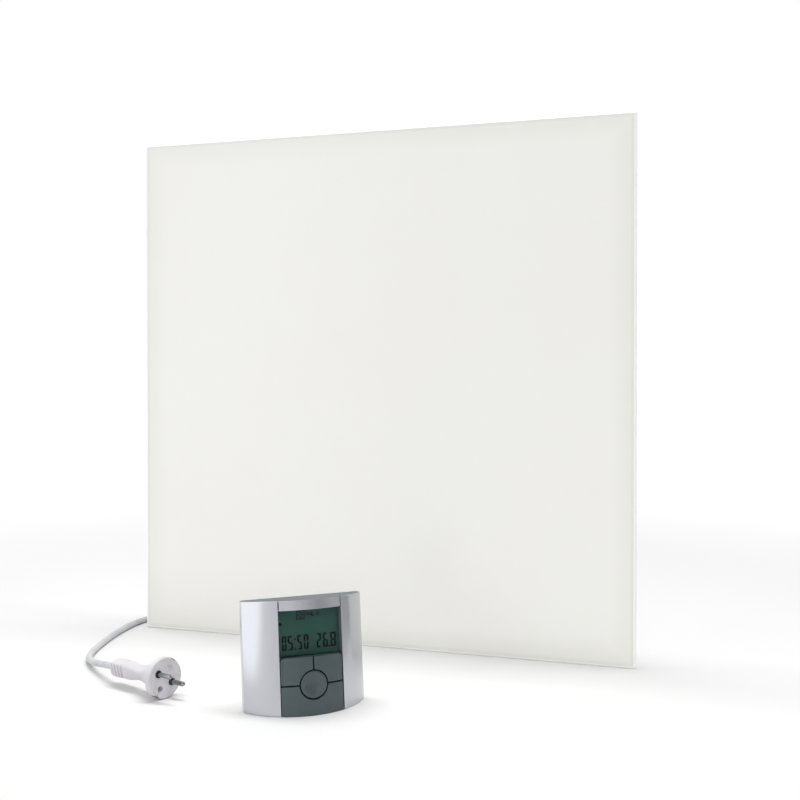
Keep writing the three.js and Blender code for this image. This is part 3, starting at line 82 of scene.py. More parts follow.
# %% [markdown]
# ## The mains lead's line
#
# A lead is a fixed length of something flexible, so its line comes before its skin. It leaves the
# gland under the junction box, comes down behind the glass, lies in a coil of the length that isn't
# in use, and goes round the panel's left edge to its plug in front. Listed points with a smooth
# curve through them suit the free stretches. The coil is a rule, not a drawing: a radius that
# shrinks by one pitch each turn and grows again on the layer above.

# %% The lead's line
CORD_DIAMETER = 7.0
LEAD_ROUTE = [
    (-225, 33.8, 50.4), (-225, 33.8, 43), (-224.9, 33.8, 36), (-223.1, 33.1, 26.7),
    (-217.8, 31, 16.8), (-209.6, 27.7, 9.4), (-199.6, 23.9, 5.6), (-190, 20.4, 5), (-178, 17, 5),
    (-164, 14.7, 5), (-145, 13.6, 5), (-124.5, 13.5, 5), (-117.3, 13.5, 5),
]
RUN_ROUTE = [
    (-117.3, 112.5, 12.6), (-125, 112.5, 12.6), (-142, 112.5, 12.2), (-160, 112.4, 10.4),
    (-178, 112, 7.6), (-197, 111, 5), (-217, 109, 3.7), (-238, 105, 3.6), (-258, 98, 3.6),
    (-277, 86.5, 3.6), (-293, 71, 3.6), (-304.5, 53, 3.6), (-311.5, 36, 3.6), (-315.5, 19, 3.6),
    (-317.2, 1, 3.6), (-316.2, -22, 3.6), (-311.6, -52, 3.6), (-304.4, -84, 3.6),
    (-296.5, -112, 3.6), (-289.2, -134, 3.6), (-281.5, -151, 3.9), (-271.5, -166.5, 5),
    (-259.5, -180, 6.9), (-246, -192, 9.4), (-232, -203, 12.2), (-220.5, -211.5, 14.7),
    (-209.3, -219.8, 16.9), (-202.5, -223.1, 17.6),
]
COIL_CENTRE = (-110, 63)
COIL_TURNS = 5.5
COIL_PITCH = 7.6
COIL_RADIUS = 49.5
COIL_LOW = 5.0
COIL_STEPS = 48             # points in a turn
ROUTE_STEPS = 8             # points between two laid ones


def smooth_line(points, steps):
    """Points on a centripetal Catmull-Rom curve through the given ones."""
    laid = [Vector(p) for p in points]
    laid = [2 * laid[0] - laid[1], *laid, 2 * laid[-1] - laid[-2]]
    line = []
    for p0, p1, p2, p3 in zip(laid, laid[1:], laid[2:], laid[3:]):
        t0, t1 = 0.0, (p1 - p0).length ** 0.5
        t2 = t1 + (p2 - p1).length ** 0.5
        t3 = t2 + (p3 - p2).length ** 0.5
        for step in range(steps):
            t = t1 + (t2 - t1) * step / steps
            a1 = p0.lerp(p1, (t - t0) / (t1 - t0))
            a2 = p1.lerp(p2, (t - t1) / (t2 - t1))
            a3 = p2.lerp(p3, (t - t2) / (t3 - t2))
            b1 = a1.lerp(a2, (t - t0) / (t2 - t0))
            b2 = a2.lerp(a3, (t - t1) / (t3 - t1))
            line.append(b1.lerp(b2, (t - t1) / (t2 - t1)))
    return line + [laid[-2]]


def coil_line():
    """The coil's centre line, in on the lower layer and out again on the upper one."""
    half = COIL_TURNS / 2
    line = []
    for i in range(int(COIL_TURNS * COIL_STEPS) + 1):
        turn = i / COIL_STEPS
        radius = COIL_RADIUS - COIL_PITCH * (half - abs(turn - half))
        climb = min(max((turn - half + 0.25) / 0.5, 0), 1)
        angle = (turn - 0.25) * math.tau
        line.append(Vector((
            COIL_CENTRE[0] + radius * math.cos(angle),
            COIL_CENTRE[1] + radius * math.sin(angle),
            COIL_LOW + COIL_PITCH * (0.5 - 0.5 * math.cos(climb * math.pi)),
        )))
    return line


cord_line = smooth_line(LEAD_ROUTE, ROUTE_STEPS) + coil_line() + smooth_line(RUN_ROUTE, ROUTE_STEPS)
cord_run_length = sum((b - a).length for a, b in zip(cord_line, cord_line[1:])) * MM
print(f"{len(cord_line)} points, {cord_run_length:.3f} m of lead")

# %% [markdown]
# ## Tools for shapes
#
# Every shape below is a closed skin, like the real mouldings, pressings and castings. Most start as
# rings of points, and a loft joins one ring to the next. Blender's Boolean modifier then cuts
# windows, holes and gaps, as a press tool would. Primitive objects pushed together would be quicker,
# but they would pass through each other and leave faces inside.

# %% Points on outlines
def filleted(corners, steps=6):
    """A closed outline through (x, y, radius) corners, each rounded by its radius."""
    outline = []
    for before, here, after in zip(corners[-1:] + corners[:-1], corners, corners[1:] + corners[:1]):
        corner, radius = Vector(here[:2]), here[2]
        if not radius:
            outline.append(tuple(corner))
            continue
        into = (corner - Vector(before[:2])).normalized()
        out = (Vector(after[:2]) - corner).normalized()
        turn = math.atan2(into.x * out.y - into.y * out.x, into.dot(out))
        start = corner - into * radius * math.tan(abs(turn) / 2)
        centre = corner + (out - into).normalized() * radius / math.cos(turn / 2)
        for step in range(steps + 1):
            outline.append(tuple(centre + Matrix.Rotation(turn * step / steps, 2) @ (start - centre)))
    return outline


def rounded(width, height, radius, centre=(0, 0), steps=6):
    """A rectangle with round corners."""
    x, y = centre
    signs = ((1, -1), (1, 1), (-1, 1), (-1, -1))
    return filleted([(x + sx * width / 2, y + sy * height / 2, radius) for sx, sy in signs], steps)


def arc(centre, radius, start, end, steps):
    """Points on an arc, its angles in degrees."""
    angles = [math.radians(start + (end - start) * step / steps) for step in range(steps + 1)]
    return [(centre[0] + radius * math.cos(a), centre[1] + radius * math.sin(a)) for a in angles]

# %% Places
def shift(x, y, z):
    return Matrix.Translation((x, y, z))


def swing(axis, degrees):
    return Matrix.Rotation(math.radians(degrees), 4, axis)


def middle_of(low, high):
    """The middle of a box seen from the front, as (x, z)."""
    return ((low.x + high.x) / 2, (low.z + high.z) / 2)


def outward(low, high):
    """Lays a shape turned about Z along +Y, in the middle of a box."""
    x, z = middle_of(low, high)
    return shift(x, 0, z) @ swing("X", -90)

# %% Closed skins
class Solid:
    """A closed mesh in millimetres: a + b joins two, a - b cuts one, a & b keeps what they share."""

    def __init__(self, points, faces):
        self.mesh = bpy.data.meshes.new("solid")
        self.mesh.from_pydata([Vector(p) for p in points], [], faces)
        self.tidy()

    def tidy(self):
        """Points that coincide are merged and all faces look outwards."""
        shape = bmesh.new()
        shape.from_mesh(self.mesh)
        bmesh.ops.remove_doubles(shape, verts=shape.verts, dist=1e-3)
        bmesh.ops.dissolve_degenerate(shape, edges=shape.edges, dist=1e-3)
        bmesh.ops.recalc_face_normals(shape, faces=shape.faces)
        shape.to_mesh(self.mesh)
        shape.free()

    def combined(self, other, operation):
        host = bpy.data.objects.new("host", self.mesh)
        tool = bpy.data.objects.new("tool", other.mesh)
        for shape in (host, tool):
            bpy.context.scene.collection.objects.link(shape)
        boolean = host.modifiers.new("boolean", "BOOLEAN")
        boolean.operation = operation
        boolean.solver = "EXACT"
        boolean.object = tool
        finished = host.evaluated_get(bpy.context.evaluated_depsgraph_get())
        result = Solid([], [])
        result.mesh = bpy.data.meshes.new_from_object(finished)
        for shape in (host, tool):
            bpy.data.objects.remove(shape)
        result.tidy()
        return result

    def __add__(self, other):
        return self.combined(other, "UNION")

    def __sub__(self, other):
        return self.combined(other, "DIFFERENCE")

    def __and__(self, other):
        return self.combined(other, "INTERSECT")

    def placed(self, place):
        """A copy in another place."""
        moved = Solid([], [])
        moved.mesh = self.mesh.copy()
        moved.mesh.transform(place)
        return moved


def loft(rings):
    """The skin through rings of equally many points, closed by a face at each end."""
    count = len(rings[0])
    faces = [tuple(range(count)), tuple(range((len(rings) - 1) * count, len(rings) * count))]
    for ring in range(len(rings) - 1):
        for point in range(count):
            a, b = ring * count + point, ring * count + (point + 1) % count
            faces.append((a, b, b + count, a + count))
    return Solid([point for ring in rings for point in ring], faces)


def turned(profile, steps=40):
    """A profile of (radius, height) pairs turned about Z."""
    turns = [math.tau * step / steps for step in range(steps)]
    return loft([[(r * math.cos(a), r * math.sin(a), h) for a in turns] for r, h in profile])


def upright(outline, low, high):
    """An outline in x and y, solid from one height to another."""
    return loft([[(x, y, z) for x, y in outline] for z in (low, high)])


def facing(outline, front, back):
    """An outline in x and z, solid between two values of y."""
    return loft([[(x, y, z) for x, z in outline] for y in (front, back)])


def stacked(layers, centre, size, steps=6):
    """Round-cornered rectangles, each (inset, y, corner radius), one behind the other."""
    width, height = size
    return loft([
        [(x, y, z) for x, z in rounded(width - 2 * inset, height - 2 * inset, radius, centre, steps)]
        for inset, y, radius in layers
    ])

# %% Measuring the frame, and putting pieces in it
def span(node, place=Matrix.Identity(4)):
    """The lowest and highest corner of a CAD node, in millimetres, in a turned frame."""
    back = place.inverted()
    corners = [back @ (v.co / MM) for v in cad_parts[node].data.vertices]
    return tuple(Vector(pick(c[axis] for c in corners) for axis in range(3)) for pick in (min, max))


def piece(name, solid, finish, stands_for=(), place=Matrix.Identity(4), body="root", edge=0.2):
    """A shape put in the scene: in metres, edges broken, with its finish, riding on its body."""
    mesh = solid.mesh.copy()
    mesh.name = name
    mesh.transform(Matrix.Scale(MM, 4) @ place)
    mesh.polygons.foreach_set("use_smooth", [True] * len(mesh.polygons))
    mesh.materials.append(finish)
    made = bpy.data.objects.new(name, mesh)
    bpy.context.scene.collection.objects.link(made)
    if edge:
        bevel = made.modifiers.new("broken edges", "BEVEL")
        bevel.width = edge * MM
        bevel.segments = 2
        bevel.limit_method = "ANGLE"
        bevel.angle_limit = math.radians(30)
        bevel.use_clamp_overlap = False
    made.modifiers.new("even shading", "WEIGHTED_NORMAL").keep_sharp = True
    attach(made, body)
    if stands_for:
        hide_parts(*stands_for)
    return made

# %% [markdown]
# ## Tools for finishes
#
# A finish is a small program on the surface: noises and masks that vary colour, gloss and bump. The
# node editor would show it as boxes and wires. Written as sums, it reads better. A wire is one
# socket, and arithmetic on wires makes Math nodes. Every finish works in millimetres in the frame of
# the piece that it belongs to, so a mask such as "the outer three millimetres" is plain to write.

# %% Wires and paints
class Wire:
    """One output socket. Arithmetic on it adds Math nodes."""

    def __init__(self, board, socket):
        self.board = board
        self.socket = socket

    def math(self, operation, *values):
        return self.board.node("ShaderNodeMath", {"operation": operation}, dict(enumerate(values)))

    def __add__(self, other):
        return self.math("ADD", self, other)

    def __radd__(self, other):
        return self.math("ADD", other, self)

    def __sub__(self, other):
        return self.math("SUBTRACT", self, other)

    def __rsub__(self, other):
        return self.math("SUBTRACT", other, self)

    def __mul__(self, other):
        return self.math("MULTIPLY", self, other)

    def __rmul__(self, other):
        return self.math("MULTIPLY", other, self)

    def __truediv__(self, other):
        return self.math("DIVIDE", self, other)

    def __pow__(self, other):
        return self.math("POWER", self, other)

    def __abs__(self):
        return self.math("ABSOLUTE", self)

    def below(self, other):
        """The smaller of two values."""
        return self.math("MINIMUM", self, other)

    def above(self, other):
        """The larger of two values."""
        return self.math("MAXIMUM", self, other)

    def rise(self, low, high):
        """0 up to low, 1 from high on, and an even curve between them."""
        sockets = {"Value": self, "From Min": low, "From Max": high}
        return self.board.node("ShaderNodeMapRange", {"interpolation_type": "SMOOTHSTEP"}, sockets)


def colour(red, green, blue):
    """A colour as a screen shows it, 0 to 255, in Blender's linear values."""
    def linear(level):
        share = level / 255
        return share / 12.92 if share <= 0.04045 else ((share + 0.055) / 1.055) ** 2.4
    return (linear(red), linear(green), linear(blue), 1)


class Board:
    """A board of nodes: it makes them and wires them up."""

    def __init__(self, tree):
        self.tree = tree

    def feed(self, socket, value):
        """Links a wire to a socket, or sets the socket's value."""
        if isinstance(value, Wire):
            self.tree.links.new(value.socket, socket)
        else:
            socket.default_value = value

    def node(self, kind, settings=None, sockets=None, out=0):
        """A node of any type: its settings first, then its sockets. Returns its output."""
        made = self.tree.nodes.new(kind)
        for setting, value in (settings or {}).items():
            if setting == "stops":
                ramp = made.color_ramp.elements
                ramp.remove(ramp[1])
                ramp[0].position, ramp[0].color = value[0]
                for position, shade in value[1:]:
                    ramp.new(position).color = shade
            else:
                setattr(made, setting, value)
        for socket, value in (sockets or {}).items():
            self.feed(made.inputs[socket], value)
        return Wire(self, made.outputs[out])

    def blend(self, mask, first, second):
        """From the first colour to the second by a mask."""
        return self.node("ShaderNodeMix", {"data_type": "RGBA"}, {0: mask, 6: first, 7: second}, out=2)


class Paint(Board):
    """A material being made: its main shader, its coordinates and its nodes."""

    def __init__(self, name, place=Matrix.Identity(4), **constants):
        self.material = bpy.data.materials.new(name)
        self.material.use_nodes = True
        super().__init__(self.material.node_tree)
        self.shader = self.tree.nodes["Principled BSDF"]
        for socket, value in constants.items():
            self.shader.inputs[socket.replace("_", " ")].default_value = value
        on_object = self.node("ShaderNodeTexCoord", out="Object")
        self.where = self.node("ShaderNodeMapping", {"vector_type": "TEXTURE"}, {
            "Vector": on_object,
            "Location": place.translation * MM,
            "Rotation": place.to_euler(),
            "Scale": (MM, MM, MM),
        })
        split = self.node("ShaderNodeSeparateXYZ", {}, {"Vector": self.where})
        self.x, self.y, self.z = (Wire(self, split.socket.node.outputs[axis]) for axis in "XYZ")

    def coat(self, **inputs):
        """Feeds the main shader's sockets."""
        for socket, value in inputs.items():
            self.feed(self.shader.inputs[socket.replace("_", " ")], value)
        return self

    def cloud(self, size, detail=2, stretch=(1, 1, 1)):
        """Soft noise with marks of about this size in millimetres."""
        where = self.node("ShaderNodeVectorMath", {"operation": "MULTIPLY"}, {0: self.where, 1: stretch})
        return self.node("ShaderNodeTexNoise", {}, {"Vector": where, "Scale": 1 / size, "Detail": detail})

    def cells(self, size, out="Color"):
        """Grains of about this size, each with its own value."""
        return self.node("ShaderNodeTexVoronoi", {}, {"Vector": self.where, "Scale": 1 / size}, out=out)

    def bump(self, height, depth, strength=1.0):
        """Relief of this depth in millimetres."""
        sockets = {"Height": height, "Distance": depth * MM, "Strength": strength}
        return self.node("ShaderNodeBump", {}, sockets)

# %% [markdown]
# ## The finishes
#
# The heater has few materials, and each says how it was made. The glass is printed white on its back,
# so it is glossy outside and dead white below. The casing is powder-coated, the hangers are cut from
# galvanised sheet, and the box, gland and plug are moulded. The thermostat is moulded too, with a
# silver lacquer that holds fine metal flakes under a clear coat.

# %% Where the turned pieces stand
CASE_FOOT = (6.5, -222.3, 0)
CASE_TURN = 40.5            # degrees, its front towards +X
CASE_TILT = 7               # degrees, its top leaning back
CASE_LEAN = math.radians(CASE_TILT)
CASE = shift(*CASE_FOOT) @ swing("Z", CASE_TURN) @ swing("X", -CASE_TILT)
PLUG_FACE = (-126.6, -252.3, 20.4)
PLUG_AZIMUTH = -21          # degrees from +X, the way the pins point
PLUG_TILT = 2
PLUG_ROLL = 147             # degrees about its axis, from level to the first pin
PLUG = shift(*PLUG_FACE) @ swing("Z", PLUG_AZIMUTH) @ swing("Y", -PLUG_TILT) @ swing("X", PLUG_ROLL)

# %% White glass, printed on its back
def printed_glass():
    """The print stops short of the ground edge. The bare bevel is painted lighter, a painted highlight; a
    thin band inside it is painted darker, partly the glass's tint and partly painted shade; and the white is
    painted darker towards every edge, a painted shade.
    """
    low, high = span("glass_pane")
    glass = Paint("printed_glass", IOR=1.5)
    from_side = high.x - abs(glass.x)
    from_edge = from_side.below(glass.z).below(high.z - glass.z)
    on_print = from_edge.rise(2.3, 2.9)
    # A thin darker band inside the bevel: partly the clear glass's own tint, partly painted shade.
    rim = 1 - from_edge.rise(4.0, 7.5)
    # Painted shade: the white is painted darker towards every edge, over the last 34 mm.
    edge_shade = 1 - from_edge.rise(5, 34)
    white = glass.blend(glass.cloud(240).rise(0.2, 0.8), colour(239, 238, 234), colour(241, 241, 236))
    white = glass.blend(edge_shade * 0.5, white, colour(230, 230, 224))
    white = glass.blend(rim * 0.75, white, colour(226, 226, 220))
    # Off the print, on the bevel, the glass is painted lighter than the print: a painted highlight.
    front = glass.blend(on_print, colour(248, 249, 246), white)
    back = glass.y.rise(2.8, 2.95)
    smear = glass.cloud(60, 3).rise(0.45, 0.8)
    return glass.coat(
        Base_Color=glass.blend(back, front, colour(214, 214, 210)),
        Roughness=0.16 + smear * 0.05 + back * 0.4,
    ).material

# %% Powder coat and galvanised sheet
def powder_coat():
    """Baked powder: a fine orange peel over even white."""
    coat = Paint("powder_coat")
    peel = coat.cloud(1.6, 3)
    shade = coat.blend(coat.cloud(90).rise(0.3, 0.7), colour(226, 226, 223), colour(232, 232, 229))
    return coat.coat(
        Base_Color=shade,
        Roughness=0.38 + peel * 0.14,
        Normal=coat.bump(peel, 0.06),
    ).material


def galvanised():
    """Hot zinc freezes in flat crystals, each a little lighter or darker than its neighbour."""
    zinc = Paint("galvanised", Metallic=1.0)
    grain = zinc.cells(7)
    crystal = grain.rise(0.1, 0.9)
    streak = zinc.cloud(1.2, 4)
    return zinc.coat(
        Base_Color=zinc.blend(crystal, colour(168, 172, 176), colour(206, 209, 212)),
        Roughness=0.26 + crystal * 0.16 + streak * 0.08,
        Normal=zinc.bump(streak, 0.01),
    ).material


def plated():
    """Bright zinc plate on screws and rivets, dulled where tools touched it."""
    zinc = Paint("zinc_plate", Metallic=1.0)
    dull = zinc.cloud(1.5, 4)
    return zinc.coat(
        Base_Color=zinc.blend(dull.rise(0.35, 0.7), colour(196, 198, 200), colour(172, 174, 178)),
        Roughness=0.2 + dull * 0.2,
    ).material

# %% Mouldings
def moulded(name, light, dark, grain, relief, gloss, place=Matrix.Identity(4)):
    """A moulding: its mould was spark-eroded, which leaves an even grain."""
    plastic = Paint(name, place)
    texture = plastic.cloud(grain, 2)
    flow = plastic.cloud(grain * 60, 2)
    return plastic.coat(
        Base_Color=plastic.blend(flow.rise(0.3, 0.7), light, dark),
        Roughness=gloss + texture * 0.12,
        Normal=plastic.bump(texture, relief),
    ).material


def lead_sheath():
    """Extruded PVC: nearly smooth, faintly mottled where it was handled."""
    sheath = Paint("lead_sheath")
    touched = sheath.cloud(14, 3).rise(0.4, 0.75)
    skin = sheath.cloud(0.9, 3)
    return sheath.coat(
        Base_Color=sheath.blend(touched, colour(192, 193, 197), colour(180, 181, 185)),
        Roughness=0.36 + skin * 0.14 + touched * 0.06,
        Normal=sheath.bump(skin, 0.05),
    ).material


def strap_weave(place):
    """A black hook-and-loop strap: fine ribs across it and a fuzzy face."""
    strap = Paint("strap_weave", place)
    rib = strap.node("ShaderNodeTexWave", {"bands_direction": "Y"}, {"Vector": strap.where, "Scale": 0.9})
    fuzz = strap.cloud(0.35, 3)
    return strap.coat(
        Base_Color=strap.blend(fuzz.rise(0.3, 0.7), colour(26, 27, 29), colour(46, 47, 50)),
        Roughness=0.7 + fuzz * 0.2,
        Normal=strap.bump(rib + fuzz * 0.7, 0.12),
    ).material


def silver_lacquer():
    """Silver lacquer: flakes under a clear coat. The top face is painted darker and duller, by height:
    painted shade, because it looks dark in the photograph. The real case may be one lacquer all over."""
    lacquer = Paint("silver_lacquer", CASE, Coat_Roughness=0.08)
    flake = lacquer.cells(0.16).rise(0.05, 0.95)
    drift = lacquer.cloud(25, 2).rise(0.3, 0.7)
    # Painted shade: the top face is painted darker and duller than the rest of the lacquer.
    top_shade = lacquer.z.rise(CASE_TOP - 0.6, CASE_TOP - 0.1)
    silver = lacquer.blend(flake, colour(180, 182, 188), colour(194, 196, 202))
    silver = lacquer.blend(drift * 0.3, silver, colour(190, 191, 197))
    return lacquer.coat(
        Base_Color=lacquer.blend(top_shade, silver, colour(112, 118, 122)),
        Metallic=0.8 - top_shade * 0.4,
        Coat_Weight=0.4 - top_shade * 0.4,
        Roughness=0.13 + flake * 0.06 + top_shade * 0.5,
        Normal=lacquer.bump(flake, 0.002),
    ).material


KEY_LINE = 23.3             # height of the button's middle and of the line below the two keys
RING_MARK = (20.5, 38.5)    # a faint ring on the right key


def key_moulding():
    """The keys' slate-grey plastic, with a fine matt grain and thumb polish on the button."""
    slate = Paint("key_moulding", CASE)
    grain = slate.cloud(0.3, 2)
    up = slate.z - KEY_LINE
    polish = 1 - (slate.x * slate.x + up * up).rise(60, 150)
    across, above = slate.x - RING_MARK[0], slate.z - RING_MARK[1]
    ring = (across * across + above * above) ** 0.5
    mark = ring.rise(1.7, 2.0) * (1 - ring.rise(2.5, 2.8))
    tone = slate.blend(slate.cloud(18).rise(0.3, 0.7), colour(64, 76, 79), colour(69, 81, 84))
    return slate.coat(
        Base_Color=slate.blend(mark * 0.35, tone, colour(44, 54, 58)),
        Roughness=0.3 + grain * 0.1 - polish * 0.08,
        Normal=slate.bump(grain, 0.012),
    ).material

# %% The display
def display_face():
    """Unlit liquid crystal: a green-grey that is a little uneven across the cell."""
    face = Paint("display_face", CASE, Specular_IOR_Level=0.1)
    drift = face.cloud(30, 2).rise(0.3, 0.7)
    weave = face.cloud(0.4, 2)
    return face.coat(
        Base_Color=face.blend(drift, colour(56, 92, 86), colour(59, 95, 89)),
        Roughness=0.3 + weave * 0.1,
    ).material


def display_ink():
    """The dark segments."""
    ink = Paint("display_ink", CASE, Specular_IOR_Level=0.1)
    return ink.coat(
        Base_Color=ink.blend(ink.cloud(2), colour(1, 3, 3), colour(3, 6, 6)),
        Roughness=0.4 + ink.cloud(0.5) * 0.1,
    ).material


def display_window_finish():
    """A clear window: mostly see-through, with a reflection that grows towards the edge."""
    window = Paint("display_window", CASE)
    clear = window.node("ShaderNodeBsdfTransparent", {}, {"Color": (0.96, 0.98, 0.97, 1)})
    shine = window.node("ShaderNodeBsdfGlossy", {}, {"Roughness": 0.05})
    edge = window.node("ShaderNodeFresnel", {}, {"IOR": 1.22})
    both = window.node("ShaderNodeMixShader", {}, {0: edge, 1: clear, 2: shine})
    output = window.tree.nodes["Material Output"]
    window.feed(output.inputs["Surface"], both)
    return window.material

# %% Metals on the plug, and what lies inside
def nickel():
    """Nickel-plated brass, drawn, with faint marks of use."""
    metal = Paint("nickel", PLUG, Metallic=1.0)
    scratch = metal.cloud(0.5, 4, stretch=(0.08, 1, 1))
    return metal.coat(
        Base_Color=metal.blend(scratch, colour(128, 134, 136), colour(168, 172, 173)),
        Roughness=0.14 + scratch * 0.2,
    ).material


def streaked(name, light, dark, size, stretch, rough, metallic=0.0):
    """Film, copper, mineral board and the like: two tones in streaks or specks."""
    stuff = Paint(name, Metallic=metallic)
    streak = stuff.cloud(size, 4, stretch)
    return stuff.coat(
        Base_Color=stuff.blend(streak.rise(0.35, 0.65), colour(*light), colour(*dark)),
        Roughness=rough + streak * 0.1,
        Normal=stuff.bump(streak, 0.03),
    ).material


def board_laminate(place=Matrix.Identity(4)):
    """A circuit board: green mask over copper tracks, which show as a lighter maze."""
    board = Paint("board_laminate", place)
    track = board.node("ShaderNodeTexBrick", {}, {
        "Vector": board.node("ShaderNodeVectorRotate", {"rotation_type": "X_AXIS"}, {
            "Vector": board.where, "Angle": math.pi / 2,
        }),
        "Scale": 0.5, "Mortar Size": 0.12,
    }, out="Fac")
    return board.coat(
        Base_Color=board.blend(track, colour(34, 84, 52), colour(58, 116, 74)),
        Roughness=0.4 - track * 0.1,
        Normal=board.bump(track, 0.035),
    ).material


def cell_sleeve():
    """A battery's printed sleeve: dark with a copper-coloured band, and no words."""
    sleeve = Paint("cell_sleeve", CASE, Metallic=0.6)
    band = sleeve.x.rise(9, 9.4)
    end = abs(sleeve.x).rise(21.6, 21.9)
    tone = sleeve.blend(band, colour(50, 52, 56), colour(176, 122, 74))
    return sleeve.coat(
        Base_Color=sleeve.blend(end, tone, colour(190, 192, 195)),
        Roughness=0.28 + sleeve.cloud(3) * 0.12,
    ).material

# %% [markdown]
# ## The glass pane
#
# The pane is six millimetres of toughened glass. Its edge is ground flat and both its rims are
# bevelled, and the bevel catches the light in a thin bright line, which its finish also paints as a
# lighter band: a painted highlight. Rings from the front face round to the back give the bevel's
# true slope. A Bevel modifier would only round the edge.

# %% Glass pane
PANE_LOW, PANE_HIGH = span("glass_pane")
PANE_CENTRE = (0, (PANE_LOW.z + PANE_HIGH.z) / 2)
PANE_SIZE = (PANE_HIGH.x - PANE_LOW.x, PANE_HIGH.z - PANE_LOW.z)
PANE_CORNER = 3
BEVEL_WIDTH = 2.5
BEVEL_DEPTH = 1.2
GROUND_RADIUS = 0.25


def glass_pane():
    face = PANE_HIGH.y
    slope = [
        (BEVEL_WIDTH + GROUND_RADIUS, face, 0.25),
        (BEVEL_WIDTH - GROUND_RADIUS, face - BEVEL_DEPTH * 0.08, 0.7),
        (GROUND_RADIUS, face - BEVEL_DEPTH * 0.92, PANE_CORNER - GROUND_RADIUS),
        (0, face - BEVEL_DEPTH - GROUND_RADIUS, PANE_CORNER),
    ]
    layers = [(inset, -y, corner) for inset, y, corner in slope] + slope[::-1]
    return stacked(layers, PANE_CENTRE, PANE_SIZE)


piece("glass_front", glass_pane(), printed_glass(), ["glass_pane"], edge=0)
print("pane", PANE_SIZE)

# %% [markdown]
# ## The rear casing
#
# A tray pressed from one sheet: a flange that is bonded to the glass, a wall, and a back stiffened by
# a raised swage. It is drawn as one continuous skin, outside and inside, with a radius at every bend,
# because a press can't make a sharp one.

# %% Rear casing
CASING_LOW, CASING_HIGH = span("rear_casing")
SHEET = 1.2
FLANGE = 10
SWAGE_RISE = 1.8
SWAGE_INSET = 140
SWAGE_WIDTH = 14
TRAY_CORNER = 16
SWAGE_CORNER = 20


def tray_corner(inset):
    """The corner radius of the tray's outline, drawn in by inset."""
    if inset < SWAGE_INSET / 2:
        return max(TRAY_CORNER - max(inset, 0), 2)
    return max(SWAGE_CORNER - max(inset - SWAGE_INSET, 0), 4)


def rear_casing():
    back = CASING_HIGH.y - SWAGE_RISE
    front = CASING_LOW.y
    rise = (SWAGE_INSET + SWAGE_WIDTH, back + SWAGE_RISE)
    middle = SWAGE_INSET + 3 * SWAGE_WIDTH
    outside = [
        (middle, back, 0), (rise[0] + 1.5, back, 1.6), (rise[0] - 1.5, rise[1], 1.6),
        (SWAGE_INSET + 1.5, rise[1], 1.6), (SWAGE_INSET - 1.5, back, 1.6), (0, back, 3),
        (0, front + SHEET, 1.5), (-FLANGE, front + SHEET, 0.5), (-FLANGE, front, 0.3),
    ]
    inside = [
        (SHEET, front, 0.3), (SHEET, back - SHEET, 1.8), (SWAGE_INSET - 1, back - SHEET, 1.6),
        (SWAGE_INSET + 2, rise[1] - SHEET, 1.6), (rise[0] - 2, rise[1] - SHEET, 1.6),
        (rise[0] + 1, back - SHEET, 1.6), (middle, back - SHEET, 0),
    ]
    profile = filleted(outside + inside, 5)
    tray = (CASING_HIGH.x - CASING_LOW.x - 2 * FLANGE, CASING_HIGH.z - CASING_LOW.z - 2 * FLANGE)
    return stacked([(inset, y, tray_corner(inset)) for inset, y in profile], PANE_CENTRE, tray, 8)


piece("casing_tray", rear_casing(), powder_coat(), ["rear_casing"], edge=0)

# %% [markdown]
# ## The hangers and their rivets
#
# Four bridges of bent strip stand off the casing, each with a keyhole that drops over a screw head.
# The strip's section, with its bend radii, runs the height of the bridge. The round-cornered plan and
# the keyhole are then cut from it, in the order in which a workshop would do it the other way round.

# %% Hangers
HANGER_SHEET = 1.5
KEYHOLE = 6.5
KEY_SLOT = 3.2
KEY_RISE = 11
FOOT = 14
OUTER_BEND = 2.3
INNER_BEND = 0.8


def hanger(low, high):
    x, z = middle_of(low, high)
    foot, back, face = (high.x - low.x) / 2, low.y, high.y
    half, sheet = foot - FOOT, HANGER_SHEET
    right = [
        (foot, back, 0.2), (foot, back + sheet, 0.2), (half, back + sheet, INNER_BEND),
        (half, face, OUTER_BEND),
    ]
    under = [(half - sheet, back, OUTER_BEND), (half - sheet, face - sheet, INNER_BEND)]
    outline = right + [(-u, v, r) for u, v, r in right[::-1]]
    outline += [(-u, v, r) for u, v, r in under] + under[::-1]
    strip = upright([(x + u, v) for u, v in filleted(outline, 5)], low.z, high.z)
    plan = facing(rounded(2 * foot, high.z - low.z, 4, (x, z)), low.y - 1, high.y + 1)
    hole = (x, z - KEY_RISE / 2)
    tilt = math.degrees(math.asin(KEY_SLOT / KEYHOLE))
    keyhole = arc(hole, KEYHOLE, 90 + tilt, 450 - tilt, 28)
    keyhole += arc((x, hole[1] + KEY_RISE), KEY_SLOT, 0, 180, 12)
    return (strip & plan) - facing(keyhole, face - 2 * sheet, face + 1)


def rivet(low, high):
    """A blind rivet: a low dome with the broken end of its mandrel in the middle."""
    head, shank = (high.x - low.x) / 2, 2
    rise = 1.4
    dome = high.y - rise
    profile = [(0, low.y), (shank, low.y), (shank, dome), (head - 0.2, dome), (head, dome + 0.2)]
    profile += [(head * math.cos(a), dome + 0.2 + (rise - 0.2) * math.sin(a)) for a in (0.4, 0.75, 1.05)]
    mandrel = ((1.1, 0.05), (1.0, 0.45), (0.75, 0.5), (0.7, 0.2), (0, 0.15))
    profile += [(radius, high.y - sunk) for radius, sunk in mandrel]
    return turned(profile, 24).placed(outward(low, high))


